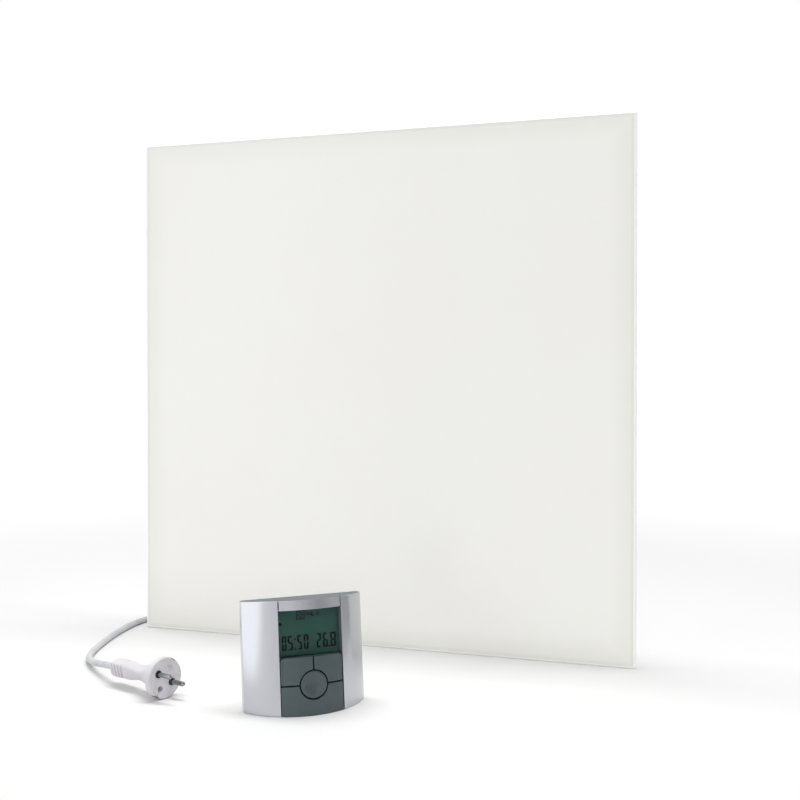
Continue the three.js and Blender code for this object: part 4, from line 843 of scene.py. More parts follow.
galvanised_sheet, plate_finish = galvanised(), plated()
for number in range(1, 5):
    node = f"hanger_{number}"
    piece(f"bridge_{number}", hanger(*span(node)), galvanised_sheet, [node])
for number in range(1, 9):
    node = f"hanger_rivet_{number}"
    piece(f"rivet_{number}", rivet(*span(node)), plate_finish, [node], edge=0)

# %% [markdown]
# ## The junction box
#
# A moulded box for the mains terminals and the wireless receiver, with a screwed lid. Both are single
# skins with a constant wall, as mouldings have to be. The lid's face has a shallow field that hides
# the slight sink a flat moulding shows.

# %% Box and lid
BOX_LOW, BOX_HIGH = span("junction_box")
LID_LOW, LID_HIGH = span("junction_box_lid")
BOX_CENTRE = middle_of(BOX_LOW, BOX_HIGH)
BOX_SIZE = (BOX_HIGH.x - BOX_LOW.x, BOX_HIGH.z - BOX_LOW.z)
BOX_CORNER = 7
BOX_WALL = 2
LID_LIP = 3
LID_FIELD = 13
FIELD_DEPTH = 0.5
SCREW_CLEARANCE = 0.3


def box_layers(profile):
    layers = [(inset, y, max(BOX_CORNER - inset, 0.8)) for inset, y in filleted(profile, 4)]
    return stacked(layers, BOX_CENTRE, BOX_SIZE, 8)


def junction_box():
    floor, rim = BOX_LOW.y, BOX_HIGH.y
    return box_layers([
        (30, floor, 0), (0, floor, 1.2), (0, rim, 0.3), (BOX_WALL, rim, 0.3),
        (BOX_WALL, floor + BOX_WALL, 1), (30, floor + BOX_WALL, 0),
    ])


def box_lid(screws):
    seat, face, inner = LID_LOW.y + LID_LIP, LID_HIGH.y, BOX_WALL + SCREW_CLEARANCE
    lid = box_layers([
        (30, face - FIELD_DEPTH, 0), (LID_FIELD + 1, face - FIELD_DEPTH, 0.6), (LID_FIELD, face, 0.6),
        (0, face, 1.1), (0, seat, 0.25), (inner, seat, 0.2), (inner, LID_LOW.y, 0.3),
        (inner + BOX_WALL, LID_LOW.y, 0.3), (inner + BOX_WALL, seat, 0.3), (30, seat, 0),
    ])
    for low, high in screws:
        radius = (high.x - low.x) / 2 + SCREW_CLEARANCE
        lid -= facing(arc(middle_of(low, high), radius, 0, 350, 35), low.y + 13, face + 1)
    return lid


def cross_screw(low, high, head_height=1.6, shank_radius=1.4):
    """A pan-headed screw that faces +Y, its shank ringed like a thread, its cross slot tapered."""
    head, seat = (high.x - low.x) / 2, high.y - head_height
    profile = [(0, low.y), (0.5, low.y)]
    turn, pitch = low.y + 1, 1.0
    while turn < seat - pitch:
        profile += [(shank_radius - 0.3, turn), (shank_radius, turn + pitch / 2)]
        turn += pitch
    profile += [(shank_radius, seat), (head - 0.15, seat), (head, seat + 0.15), (head, seat + 0.75)]
    profile += [(head - 0.35, seat + 1.25), (head - 1.1, high.y - 0.08), (0, high.y)]
    screw = turned(profile, 24)
    arm, reach = 0.42, head * 0.62
    signs = ((1, 1), (-1, 1), (-1, -1), (1, -1))
    for width, depth in ((arm, reach), (reach, arm)):
        ends = ((0.6, seat + 0.5), (1, high.y + 1))
        screw -= loft([[(sx * width * size, sy * depth * size, z) for sx, sy in signs] for size, z in ends])
    return screw.placed(outward(low, high))


white_moulding = moulded("white_moulding", colour(236, 236, 233), colour(229, 229, 226), 0.45, 0.012, 0.36)
lid_screws = [span(f"lid_screw_{number}") for number in range(1, 5)]
piece("terminal_housing", junction_box(), white_moulding, ["junction_box"], edge=0)
piece("terminal_lid", box_lid(lid_screws), white_moulding, ["junction_box_lid"], edge=0.15)
for number, (low, high) in enumerate(lid_screws, 1):
    screw = cross_screw(low, high)
    piece(f"lid_fixing_{number}", screw, plate_finish, [f"lid_screw_{number}"], edge=0)

# %% [markdown]
# ## The cable gland
#
# The gland clamps the lead where it leaves the box: a hexagon, a fluted dome nut, and a ribbed tail
# that lets the lead bend gently. Its body is turned, as the real one is, and the hexagon's corners
# are broken by a cone.

# %% Gland
GLAND_LOW, GLAND_HIGH = span("cable_gland")
GLAND_FLATS = 19
GLAND_HEX = 5
GLAND_DOME = 8
GLAND_THREAD = 7.6
TAIL_RADIUS = 6.2
TAIL_TIP = 4.5
TAIL_RIBS = 7
TAIL_OVER = 4               # how far the tail reaches down over the lead
FLUTES = 12
FLUTE_STEPS = 6


def cable_gland():
    seat = BOX_LOW.z - 0.3
    dome = seat - GLAND_HEX
    tail = dome - GLAND_DOME
    tip = GLAND_LOW.z - TAIL_OVER
    across = GLAND_FLATS / math.sqrt(3)
    sixths = [math.tau * k / 6 for k in range(6)]
    hexagon = upright([(across * math.cos(a), across * math.sin(a)) for a in sixths], dome, seat)
    corners = turned([
        (0, dome), (across - 1.3, dome), (across, dome + 0.8), (across, seat - 0.8),
        (across - 1.3, seat), (0, seat),
    ])
    nut = []
    courses = (
        (7.4, tail - 0.4), (8.0, tail + 0.4), (8.7, tail + 2.5), (8.9, dome - 0.3), (8.4, dome + 0.5),
    )
    for radius, z in courses:
        ring = []
        for step in range(FLUTES * FLUTE_STEPS):
            angle = math.tau * step / (FLUTES * FLUTE_STEPS)
            wave = 0.28 * max(math.cos(angle * FLUTES), -0.2)
            ring.append(((radius + wave) * math.cos(angle), (radius + wave) * math.sin(angle), z))
        nut.append(ring)
    bore = CORD_DIAMETER / 2 + 0.1
    profile = [(0, dome), (TAIL_RADIUS, dome), (TAIL_RADIUS, tail)]
    for rib in range(TAIL_RIBS):
        share = (rib + 0.5) / TAIL_RIBS
        radius = TAIL_RADIUS + (TAIL_TIP - TAIL_RADIUS) * share
        z, half = tail + (tip - tail) * share, (tail - tip) / TAIL_RIBS / 2
        profile += [(radius, z + half * 0.75), (radius, z - half * 0.2)]
        profile += [(radius - 0.8, z - half * 0.35), (radius - 0.8, z - half * 0.85)]
    profile += [(TAIL_TIP, tip + 0.3), (TAIL_TIP - 0.3, tip), (bore, tip), (bore, tip + 9), (0, tip + 9)]
    stem = upright(arc((0, 0), GLAND_THREAD, 0, 348, 30), seat - 0.5, GLAND_HIGH.z)
    gland = (hexagon & corners) + loft(nut) + turned(profile) + stem
    return gland.placed(shift((GLAND_LOW.x + GLAND_HIGH.x) / 2, (GLAND_LOW.y + GLAND_HIGH.y) / 2, 0))


piece("lead_gland", cable_gland(), white_moulding, ["cable_gland"], edge=0)

# %% [markdown]
# ## The strap round the coil
#
# A flat strap goes once round the coil's bundle and closes on itself, so its two ends lie one over
# the other on top. Its section follows the path, and the path steps out by one thickness before it
# reaches its own beginning.

# %% Strap
TIE_HEADING = 60            # degrees round the coil
TIE = shift(*COIL_CENTRE, 0) @ swing("Z", TIE_HEADING)
TIE_LOW, TIE_HIGH = span("coil_tie", TIE)
STRAP = 1.1
STRAP_LAP = 16


def coil_strap():
    width, height = TIE_HIGH.x - TIE_LOW.x - STRAP, TIE_HIGH.z - TIE_LOW.z - STRAP
    middle = middle_of(TIE_LOW, TIE_HIGH)
    loop = rounded(width, height, 3.2, middle, 8)
    start = next(k for k, (x, z) in enumerate(loop) if z > middle[1] and x < middle[0])
    loop = loop[start:] + loop[:start]
    top = middle[1] + height / 2
    path = [(middle[0] - 4, top)] + loop
    path += [(middle[0] + 2, top), (middle[0] - 3, top), (middle[0] - 5, top + STRAP)]
    path += [(middle[0] - STRAP_LAP, top + STRAP)]
    rings = []
    for k, (x, z) in enumerate(path):
        before, after = path[max(k - 1, 0)], path[min(k + 1, len(path) - 1)]
        along = Vector((after[0] - before[0], after[1] - before[1])).normalized()
        out = Vector((along.y, -along.x))
        ring = []
        for across, rise in rounded(TIE_HIGH.y - TIE_LOW.y, STRAP, 0.35, steps=3):
            ring.append((x + out.x * rise, across, z + out.y * rise))
        rings.append(ring)
    return loft(rings)


piece("coil_strap", coil_strap(), strap_weave(TIE), ["coil_tie"], place=TIE, edge=0)

# %% [markdown]
# ## The plug
#
# A round earthed plug, moulded onto the lead in soft grey plastic. Its section changes all the way
# along: round where the lead goes in, square with ribbed sides where fingers hold it, slim at the
# neck, and flaring into the disc. So it is a loft of sections from a formula that goes from a square
# to a circle. The holes, the key slot and the beds of the earth clips are cut afterwards. The earth
# contact lies where the frame has it, in the half that the photograph shows with a dimple, and it
# is closed in behind that. The keyhole is in the other half, as in the photograph, and is empty.

# %% Plug body
PLUG_LOW, PLUG_HIGH = span("plug_body", PLUG)
DISC_RADIUS = PLUG_HIGH.y
DISC_RIM = 6.5
GRIP_ROLL = math.radians(15 - PLUG_ROLL)
NECK_ROLL = math.radians(30 - PLUG_ROLL)
GRIP_LENGTH = 23
GRIP_HALF = 7.75
GRIP_RIBS = 4
RIB_DEPTH = 1.5
NECK_HALF = 6.3
NECK_LENGTH = 49
LEAD_SLEEVE = 3.5
PIN_SPACING = 19
PIN_RADIUS = 2.4
PIN_TIP = 19
EARTH_OFFSET = 11.5
EARTH_RADIUS = 2.9


def on_face(solid, y, z):
    """A shape turned about Z, laid along the pins at a place on the plug's face."""
    return solid.placed(shift(0, y, z) @ swing("Y", 90))


def plug_section(x, half, power, roll, flat=None, steps=72):
    """A section of the plug: power 2 is a circle, and higher powers are squarer."""
    ring = []
    tall = half if flat is None else flat
    for step in range(steps):
        angle = math.tau * step / steps
        c, s = math.cos(angle), math.sin(angle)
        reach = (abs(c) ** power + abs(s) ** power) ** (-1 / power)
        y, z = half * reach * c, tall * reach * s
        ring.append((x, y * math.cos(roll) - z * math.sin(roll), y * math.sin(roll) + z * math.cos(roll)))
    return ring


def plug_body():
    end = PLUG_LOW.x
    tail = end - LEAD_SLEEVE
    sections = [(tail, 4.1, 2, 4.1), (tail + 0.3, 4.5, 2, 4.5), (end - 0.4, 4.9, 2, 4.9)]
    sections += [(end, 6.2, 3.4, 6.2), (end + 0.7, GRIP_HALF - 0.7, 4.5, GRIP_HALF - 0.5)]
    pitch = GRIP_LENGTH / (GRIP_RIBS + 0.6)
    for rib in range(GRIP_RIBS):
        x = end + 1.4 + rib * pitch
        wide = GRIP_HALF - (0.5 if rib == 0 else 0)
        for share, sink in ((0, 0.25), (0.08, 0), (0.46, 0), (0.54, 0.3), (0.62, 1), (0.88, 1), (0.95, 0.6)):
            sections.append((x + share * pitch, wide - sink * RIB_DEPTH, 5, GRIP_HALF - sink * 0.25))
    grip_end = end + GRIP_LENGTH
    sections += [(grip_end - 1, GRIP_HALF, 5, GRIP_HALF), (grip_end + 2.5, GRIP_HALF, 5, GRIP_HALF - 0.1)]
    rings = [plug_section(x, half, power, GRIP_ROLL, flat) for x, half, power, flat in sections]
    neck_start, flare, back = grip_end + 3.5, end + NECK_LENGTH - 6, -DISC_RIM
    for step in range(1, 7):
        share = step / 6
        ease = share * share * (3 - 2 * share)
        half = GRIP_HALF + (NECK_HALF - GRIP_HALF) * ease
        roll = GRIP_ROLL + (NECK_ROLL - GRIP_ROLL) * ease
        station = neck_start + share * (flare - neck_start)
        rings.append(plug_section(station, half, 5 - ease, roll, half * 1.02))
    for step in range(1, 11):
        share = step / 10
        half = NECK_HALF + (DISC_RADIUS - 1 - NECK_HALF) * (0.35 * share + 0.65 * share ** 2.6)
        power = 4 - 2 * share ** 1.5
        rings.append(plug_section(flare + share * (back - 0.4 - flare), half, power, NECK_ROLL))
    rim = ((back, 0.35), (back + 0.35, 0), (-1.1, 0), (-0.75, 0.1), (-0.15, 0.75), (0, 1.15), (0, 1.7))
    for x, inset in rim + ((-0.35, 2.2),):
        rings.append(plug_section(x, DISC_RADIUS - inset, 2, NECK_ROLL))
    rings.append(plug_section(-0.35, DISC_RADIUS / 2, 2, NECK_ROLL))
    body = loft(rings)
    shank = PIN_RADIUS + 0.2
    for side in (-1, 1):
        bore = turned([(0, -9.3), (shank, -9.3), (shank, -1), (3.8, -1), (3.8, 2), (0, 2)])
        body -= on_face(bore, side * PIN_SPACING / 2, 0)
        clip = rounded(6.6, 4, 0.6, (0, side * (DISC_RADIUS + 0.6)), 3)
        body -= loft([[(x, u, v) for u, v in clip] for x in (-5.3, 2)])
    hole = EARTH_RADIUS
    keyhole = turned([(0, -6), (hole, -6), (hole, -0.6), (hole + 0.6, 0), (hole + 1, 2), (0, 2)])
    body -= on_face(keyhole, 0, EARTH_OFFSET)
    dimple = turned([(0, -1.9), (1.6, -1.85), (2.7, -1.4), (3.2, -0.4), (3.6, 2), (0, 2)])
    body -= on_face(dimple, 0, -EARTH_OFFSET)
    body -= on_face(turned([(0, -14), (hole, -14), (hole, -3), (0, -3)]), 0, -EARTH_OFFSET)
    key = rounded(1.1, 12, 0.3, (0, EARTH_OFFSET + 6), 2)
    return body - loft([[(x, u, v) for u, v in key] for x in (-1.4, 2)])


def earth_tube():
    """The earth contact: a tube in its place in the frame, cut short to lie behind the dimple."""
    tube = turned([(0, -13.7), (2.75, -13.7), (2.75, -3.4), (2.45, -3.1), (0, -3.1)])
    tube -= turned([(0, -12.5), (2.1, -12.5), (2.1, 0), (0, 0)])
    return on_face(tube, 0, -EARTH_OFFSET)


def plug_pin(side):
    bare, shoulder = PIN_RADIUS - 0.08, PIN_TIP - 2.6
    profile = [(0, -9), (PIN_RADIUS, -9), (PIN_RADIUS, 1.2), (bare, 1.4), (bare, shoulder)]
    nose = (0.25, 0.55, 0.85, 1.15, 1.4)
    profile += [(bare * math.cos(a), shoulder + 2.6 * math.sin(a)) for a in nose]
    profile.append((0, PIN_TIP))
    return on_face(turned(profile), side * PIN_SPACING / 2, 0)


def pin_collar(side):
    bore, wide = PIN_RADIUS + 0.1, 3.5
    profile = [(bore, -0.9), (wide, -0.9), (wide, 0.55), (wide - 0.15, 0.8), (wide - 0.45, 0.9)]
    profile += [(bore + 0.1, 0.9), (bore, 0.8)]
    ring = turned(profile) - turned([(0, -2), (bore, -2), (bore, 2), (0, 2)])
    return on_face(ring, side * PIN_SPACING / 2, 0)


def earth_clip(side):
    """A spring strip in the rim, its front end turned in and its middle bowed out."""
    outer, thick, half = DISC_RADIUS - 0.3, 0.8, 3
    line = [(-5, 0), (-4.2, 0.12), (-3, 0.22), (-1.8, 0.15), (-0.9, -0.1), (-0.45, -0.45)]
    outline = [(x, outer + rise) for x, rise in line] + [(x, outer + rise - thick) for x, rise in line[::-1]]
    return loft([[(x, width, side * z) for x, z in outline] for width in (-half, half)])


plug_plastic = moulded("plug_moulding", colour(208, 206, 211), colour(200, 198, 203), 0.4, 0.015, 0.36, PLUG)
collar_plastic = moulded("collar_moulding", colour(30, 31, 33), colour(38, 39, 41), 0.3, 0.01, 0.4, PLUG)
bright_nickel = nickel()
piece("earth_tube", earth_tube(), bright_nickel, ["earth_sleeve"], place=PLUG, edge=0)
plug_moulding = piece(
    "plug_moulding", plug_body(), plug_plastic, ["plug_body"], place=PLUG, edge=0.12
)
for number, side in ((1, 1), (2, -1)):
    for name, shape, finish, slot, node, edge in (
        ("pin", plug_pin, bright_nickel, "plug_metal", "plug_pin", 0),
        ("collar", pin_collar, collar_plastic, "black_plastic", "pin_collar", 0),
        ("clip", earth_clip, bright_nickel, "plug_metal", "earth_clip", 0.12),
    ):
        nodes = [f"{node}_{number}"]
        piece(f"{name}_{number}", shape(side), finish, nodes, place=PLUG, edge=edge)

# %% [markdown]
# ## The thermostat's case
#
# The case is a shallow box whose front bows out, and it is cut off level with the floor that it stands
# on. Its plan is one outline: two straight sides, two soft corners and the bow. The skin is that plan
# carried from the floor to the top and drawn in a little at both ends for the soft edges. A block with
# rounded edges would miss the bow, which is what its reflections follow.

# %% Case plan
CASE_LOW, CASE_HIGH = span("case_front", CASE)
CASE_HALF = CASE_HIGH.x
CASE_TOP = CASE_HIGH.z
CASE_FRONT = -CASE_LOW.y
BOW = 32
BOW_RADIUS = (CASE_HALF ** 2 + BOW ** 2) / (2 * BOW)
BOW_CENTRE = CASE_FRONT - BOW_RADIUS
CASE_SOFT = 1.6
EDGE_SOFT = 1.1
CASE_WALL = 2.2
JOIN = 8.3
COLUMN_HALF = 31.2
COLUMN_RIB = 1.5
WINDOW_TOP = CASE_TOP - 9.7
COLUMN_BACK = 26.6
GROOVE = 1.0
GROOVE_DEPTH = 2.2
CELL_FACE = 22.8            # depth of the display's face
KEY_TOP = span("left_key", CASE)[1].z


def front_at(x, inset=0):
    """The depth of the bowed front at x."""
    return BOW_CENTRE + math.sqrt((BOW_RADIUS - inset) ** 2 - x * x)


def fan(centre, radius, start, end, steps):
    """Points on an arc in plan, its angles counted from the front towards +X."""
    return arc(centre, radius, 90 - start, 90 - end, steps)


def bowed_plan(inset, back, steps=44):
    """The case's plan, as (x, depth), drawn in by inset in front of its flat back."""
    half, bow, soft = CASE_HALF - inset, BOW_RADIUS - inset, max(CASE_SOFT - inset, 0.1)
    corner = (half - soft, BOW_CENTRE + math.sqrt((bow - soft) ** 2 - (half - soft) ** 2))
    reach = math.degrees(math.atan2(corner[0], corner[1] - BOW_CENTRE))
    right = fan(corner, soft, 90, reach, 6)
    left = [(-x, depth) for x, depth in right[::-1]]
    front = fan((0, BOW_CENTRE), bow, reach, -reach, steps)[1:-1]
    return [(half, back)] + right + front + left + [(-half, back)]


def bowed_body(inset, back, top, lift=0.0, soft_top=0.0, soft_foot=0.0, foot=None):
    """The plan carried up to top from the floor, or from a level foot."""
    rings = []
    for turn in (0, 22, 45, 68, 90) if soft_foot else (90,):
        a = math.radians(turn)
        draw, rise = soft_foot * (1 - math.sin(a)), soft_foot * (1 - math.cos(a))
        plan = bowed_plan(inset + draw, back)
        rings.append([
            (x, -depth, (lift + rise - depth * math.tan(CASE_LEAN)) if foot is None else foot + rise)
            for x, depth in plan
        ])
    for turn in (0, 22, 45, 68, 90) if soft_top else (0,):
        a = math.radians(turn)
        draw, drop = soft_top * (1 - math.cos(a)), soft_top * (1 - math.sin(a))
        rings.append([(x, -depth, top - drop) for x, depth in bowed_plan(inset + draw, back)])
    return loft(rings)


def block(x0, x1, depth0, depth1, z0, z1):
    return upright([(x0, -depth0), (x1, -depth0), (x1, -depth1), (x0, -depth1)], z0, z1)

# %% Front shell
def case_front():
    shell = bowed_body(0, JOIN, CASE_TOP, soft_top=EDGE_SOFT, soft_foot=0.5)
    shell -= bowed_body(CASE_WALL, JOIN - 5, CASE_TOP - CASE_WALL, lift=CASE_WALL)
    half, top = COLUMN_HALF + COLUMN_RIB, WINDOW_TOP + COLUMN_RIB
    ribs = block(-half, half, COLUMN_BACK, 60, -20, top)
    ribs += block(-half, half, CELL_FACE, 60, KEY_TOP - 1, top)
    shell += ribs & bowed_body(CASE_WALL / 2, JOIN, CASE_TOP - CASE_WALL / 2, lift=CASE_WALL / 2)
    shell -= block(-COLUMN_HALF, COLUMN_HALF, CELL_FACE - 2, 60, -20, WINDOW_TOP)
    for side in (-1, 1):
        x = side * (COLUMN_HALF - GROOVE / 2)
        depth = front_at(COLUMN_HALF) - GROOVE_DEPTH
        shell -= block(x - GROOVE / 2, x + GROOVE / 2, depth, 60, WINDOW_TOP - 1, CASE_TOP + 5)
    return shell


silver = silver_lacquer()
piece("front_shell", case_front(), silver, ["case_front"], place=CASE, edge=0.18)

# %% Back shell and battery door
BACK_DEPTH = 8
BACK_CORNER = 2
DOOR_LOW, DOOR_HIGH = 12.05, 34.25
DOOR_HALF = span("battery_door", CASE)[1].x
DOOR_GAP = 0.3
DOOR_MIDDLE = (0, (DOOR_LOW + DOOR_HIGH) / 2)
DOOR_SIZE = (2 * DOOR_HALF, DOOR_HIGH - DOOR_LOW)


def back_plan(inset):
    half = CASE_HALF - inset
    front = [(half, -BACK_DEPTH, 0), (-half, -BACK_DEPTH, 0)]
    return filleted(front + [(-half, -inset, BACK_CORNER), (half, -inset, BACK_CORNER)], 5)


def case_back(screws):
    rings = []
    for turn in (0, 30, 60, 90):
        a = math.radians(turn)
        draw = 0.5 * (1 - math.sin(a))
        rise = 0.5 * (1 - math.cos(a))
        rings.append([(x, y, y * math.tan(CASE_LEAN) + rise) for x, y in back_plan(draw)])
    for turn in (0, 30, 60, 90):
        a = math.radians(turn)
        draw, drop = EDGE_SOFT * (1 - math.cos(a)), EDGE_SOFT * (1 - math.sin(a))
        rings.append([(x, y, CASE_TOP - drop) for x, y in back_plan(draw)])
    shell = loft(rings)
    hollow = rounded(2 * (CASE_HALF - CASE_WALL), CASE_TOP - 2 * CASE_WALL, 1, (0, CASE_TOP / 2), 3)
    shell -= facing(hollow, -BACK_DEPTH - 2, -CASE_WALL)
    for low, high in screws:
        centre = middle_of(low, high)
        shell += facing(arc(centre, 3.6, 0, 345, 23), -BACK_DEPTH, -CASE_WALL / 2)
        shell -= facing(arc(centre, 3.2, 0, 350, 35), -1.9, 2)
        shell -= facing(arc(centre, 1.7, 0, 345, 23), -BACK_DEPTH - 2, -1)
    opening = rounded(DOOR_SIZE[0] + 2 * DOOR_GAP, DOOR_SIZE[1] + 2 * DOOR_GAP, 0.9, DOOR_MIDDLE, 3)
    return shell - facing(opening, -CASE_WALL - 1, 1)


def battery_door():
    """A plate with two hooks, a catch that springs, a thumb scoop and three grip lines."""
    layers = [(0.3, 0, 0.3), (0.1, -0.1, 0.5), (0, -0.3, 0.6), (0, -CASE_WALL, 0.6)]
    door = stacked(layers, DOOR_MIDDLE, DOOR_SIZE, 3)
    for x, half, edge, way in ((-14, 3, DOOR_LOW, -1), (14, 3, DOOR_LOW, -1), (0, 6, DOOR_HIGH, 1)):
        root, tip = edge - way * 1.1, edge + way * 2.4
        hook = [(root, 1.1), (edge, 1.1), (edge, 2.5), (tip, 2.5), (tip, 3.1)]
        hook += [(tip - way * 0.4, 3.5), (root, 3.5)]
        door += loft([[(x + side * half, -depth, z) for z, depth in hook] for side in (-1, 1)])
    scoop = turned([(0, -0.8), (2.5, -0.74), (5, -0.5), (7, 0), (8, 1), (0, 1)], 48)
    door -= scoop.placed(shift(0, 0, DOOR_HIGH) @ swing("X", -90))
    for line in range(3):
        door -= facing(rounded(14, 0.7, 0.3, (0, DOOR_HIGH - 8.5 - 1.8 * line), 3), -0.4, 1)
    return door


case_screws = [span(f"case_screw_{number}", CASE) for number in range(1, 5)]
piece("back_shell", case_back(case_screws), silver, ["case_back"], place=CASE, edge=0.15)
piece("snap_door", battery_door(), silver, ["battery_door"], place=CASE, edge=0.1)
for number, (low, high) in enumerate(case_screws, 1):
    screw = cross_screw(low, high)
    nodes = [f"case_screw_{number}"]
    piece(f"case_fixing_{number}", screw, plate_finish, nodes, place=CASE, edge=0)

# %% [markdown]
# ## Display
#
# The window lies deep between the two cheeks, so its right wall shows from the camera. Behind it is
# the display's cell, and on that the dark segments. Real segments have no thickness. These have a
# tenth of a millimetre, so that they are solids too.

# %% Window and display cell
GLASS_LOW, GLASS_HIGH = span("display_glass", CASE)
CELL_BACK = span("display_module", CASE)[1].y
CELL_SIZE = (2 * COLUMN_HALF - 0.3, WINDOW_TOP - KEY_TOP - 0.1)
CELL_MIDDLE = (0, (WINDOW_TOP + KEY_TOP) / 2)


def display_plate(front, back):
    """A plate that fills the window: its clear cover, or the cell behind it."""
    return facing(rounded(*CELL_SIZE, 0.5, CELL_MIDDLE, 3), front, back)

# %% Characters
STROKE = 1.85
MITRE = 0.1                 # half the gap between two segments
DIGIT_LOW, DIGIT_HIGH = 54.5, 68.1
INK = 0.1
INK_SHIFT = (0.55, -0.25)   # moves all the marks, which were laid out for a shallower face


def shifted(outline):
    return [(x + INK_SHIFT[0], z + INK_SHIFT[1]) for x, z in outline]


def ink(outline):
    """A flat mark on the display's face."""
    return facing(shifted(outline), -CELL_FACE - 0.05 - INK, -CELL_FACE - 0.05)


def ring_ink(centre, radius, hole_centre, hole_radius):
    """A disc with a round hole in it: a ring, or a moon where the hole is off its centre."""
    hole = facing(shifted(arc(hole_centre, hole_radius, 0, 350, 35)), -CELL_FACE - 2, -CELL_FACE + 2)
    return ink(arc(centre, radius, 0, 350, 35)) - hole


def bar(x0, z0, x1, z1, half):
    """A straight line of a picture mark."""
    along = Vector((x1 - x0, z1 - z0)).normalized() * half
    side = Vector((-along.y, along.x))
    start, end = Vector((x0, z0)) - along, Vector((x1, z1)) + along
    return ink([tuple(p) for p in (start + side, end + side, end - side, start - side)])


# The segments that each figure lights, by the usual letters: a to f clockwise from the top, and g
# across the middle. Every end is mitred, so neighbours meet with an even thin gap.
LIT = {"0": "abcdef", "2": "abged", "5": "afgcd", "6": "afgcde", "8": "abcdefg"}


def digit(figure, x0, x1):
    z0, z1 = DIGIT_LOW, DIGIT_HIGH
    zm, s, g = (z0 + z1) / 2, STROKE, MITRE
    segments = {
        "a": [(x0 + g, z1), (x1 - g, z1), (x1 - s - g, z1 - s), (x0 + s + g, z1 - s)],
        "d": [(x0 + g, z0), (x1 - g, z0), (x1 - s - g, z0 + s), (x0 + s + g, z0 + s)],
        "g": [
            (x0 + s / 2 + g, zm), (x0 + s + g, zm + s / 2), (x1 - s - g, zm + s / 2),
            (x1 - s / 2 - g, zm), (x1 - s - g, zm - s / 2), (x0 + s + g, zm - s / 2),
        ],
    }
    for side, far, upper, lower in ((x0, x0 + s, "f", "e"), (x1, x1 - s, "b", "c")):
        for name, end, way in ((upper, z1, 1), (lower, z0, -1)):
            segments[name] = [
                (side, end - way * g), (far, end - way * (s + g)), (far, zm + way * (s / 2 + g)),
                ((side + far) / 2, zm + way * g), (side, zm + way * (s / 2 + g)),
            ]
    return [ink(segments[name]) for name in LIT[figure]]


FIGURES = [
    ("0", -25.9, -21.2), ("5", -20.0, -14.8), ("5", -10.6, -5.8), ("0", -4.2, 0.7), ("2", 8.4, 13.3),
    ("6", 14.9, 20.0), ("8", 22.4, 28.2),
]
FRAME_MARK = [(-10.5, 82.8), (-2.9, 82.8), (-2.9, 90.6), (-10.5, 90.6), (-10.5, 82.8)]
HOUSE_MARK = [
    (-9, 86.6), (-6.7, 89.2), (-4.4, 86.6), (-5, 86.6), (-5, 84.2), (-8.4, 84.2), (-8.4, 86.6), (-9, 86.6),
]
WAVE_MARK = [(-1.6 + 0.8 * step, 87.5 if step % 2 else 86.6) for step in range(7)]


def characters():
    marks = []
    for figure, x0, x1 in FIGURES:
        marks += digit(figure, x0, x1)
    for x, z in ((-12.8, 64.6), (-12.8, 55.5), (21.2, 55.3)):
        marks.append(ink(arc((x, z), 0.9, 0, 330, 11)))
    for line, half in ((FRAME_MARK, 0.35), (HOUSE_MARK, 0.3), (WAVE_MARK, 0.3)):
        for (x0, z0), (x1, z1) in zip(line, line[1:]):
            marks.append(bar(x0, z0, x1, z1, half))
    marks.append(ring_ink((5.9, 86.6), 2.1, (6.9, 87.0), 1.75))
    marks.append(ring_ink((10.6, 86.5), 1.6, (10.6, 86.5), 1.0))
    marks.append(ink(arc((-26.9, 79.5), 1.5, 0, 345, 23)))
    return marks


def gathered(solids):
    """Several separate solids in one mesh."""
    points, faces = [], []
    for solid in solids:
        first = len(points)
        points += [tuple(v.co) for v in solid.mesh.vertices]
        faces += [tuple(first + v for v in face.vertices) for face in solid.mesh.polygons]
    return Solid(points, faces)


cover = display_plate(GLASS_LOW.y, GLASS_HIGH.y)
cell = display_plate(-CELL_FACE, CELL_BACK)
clear = display_window_finish()
piece("window", cover, clear, ["display_glass"], place=CASE, edge=0.1)
piece("display_cell", cell, display_face(), ["display_module"], place=CASE, edge=0.1)
piece("display_characters", gathered(characters()), display_ink(), place=CASE, edge=0)

# %% [markdown]
# ## Keys, button and cover
#
# The keys and the cover are one bowed skin, parted by narrow gaps, so they are cut from the same bowed
# plan as the case. Each key has the stem that carries it to its switch, because it moves as one with
# it. The round button is turned: a rim, and a dish for the thumb.

# %% Keys
KEY_HALF = -span("left_key", CASE)[0].x
LINE_GAP = 1.1
KEY_SINK = 0.2
KEY_CAP = 3
BUTTON_RADIUS = span("ok_button", CASE)[1].x
DISH_RADIUS = 8.3
DISH_DEPTH = 3.1
STEM = 8
COVER_CLEARANCE = 2.3       # behind the cover, to the carrier of the keys


def key_skin():
    inner = bowed_body(KEY_SINK + KEY_CAP, -5, KEY_TOP + 5, foot=-20)
    return bowed_body(KEY_SINK, 0, KEY_TOP + 2, foot=-10) - inner


def round_button_gap():
    return facing(arc((0, KEY_LINE), BUTTON_RADIUS + LINE_GAP, 0, 356, 89), -70, -COLUMN_BACK)


def stem(node, x, z, front):
    """A key's square stem, with the collar that stops it behind its guide."""
    back = span(node, CASE)[1].y
    post = facing(rounded(STEM, STEM, 0.5, (x, z), 2), -front, back)
    return post + facing(rounded(STEM + 3, STEM + 3, 0.5, (x, z), 2), -COLUMN_BACK + 0.3, -COLUMN_BACK + 1.8)


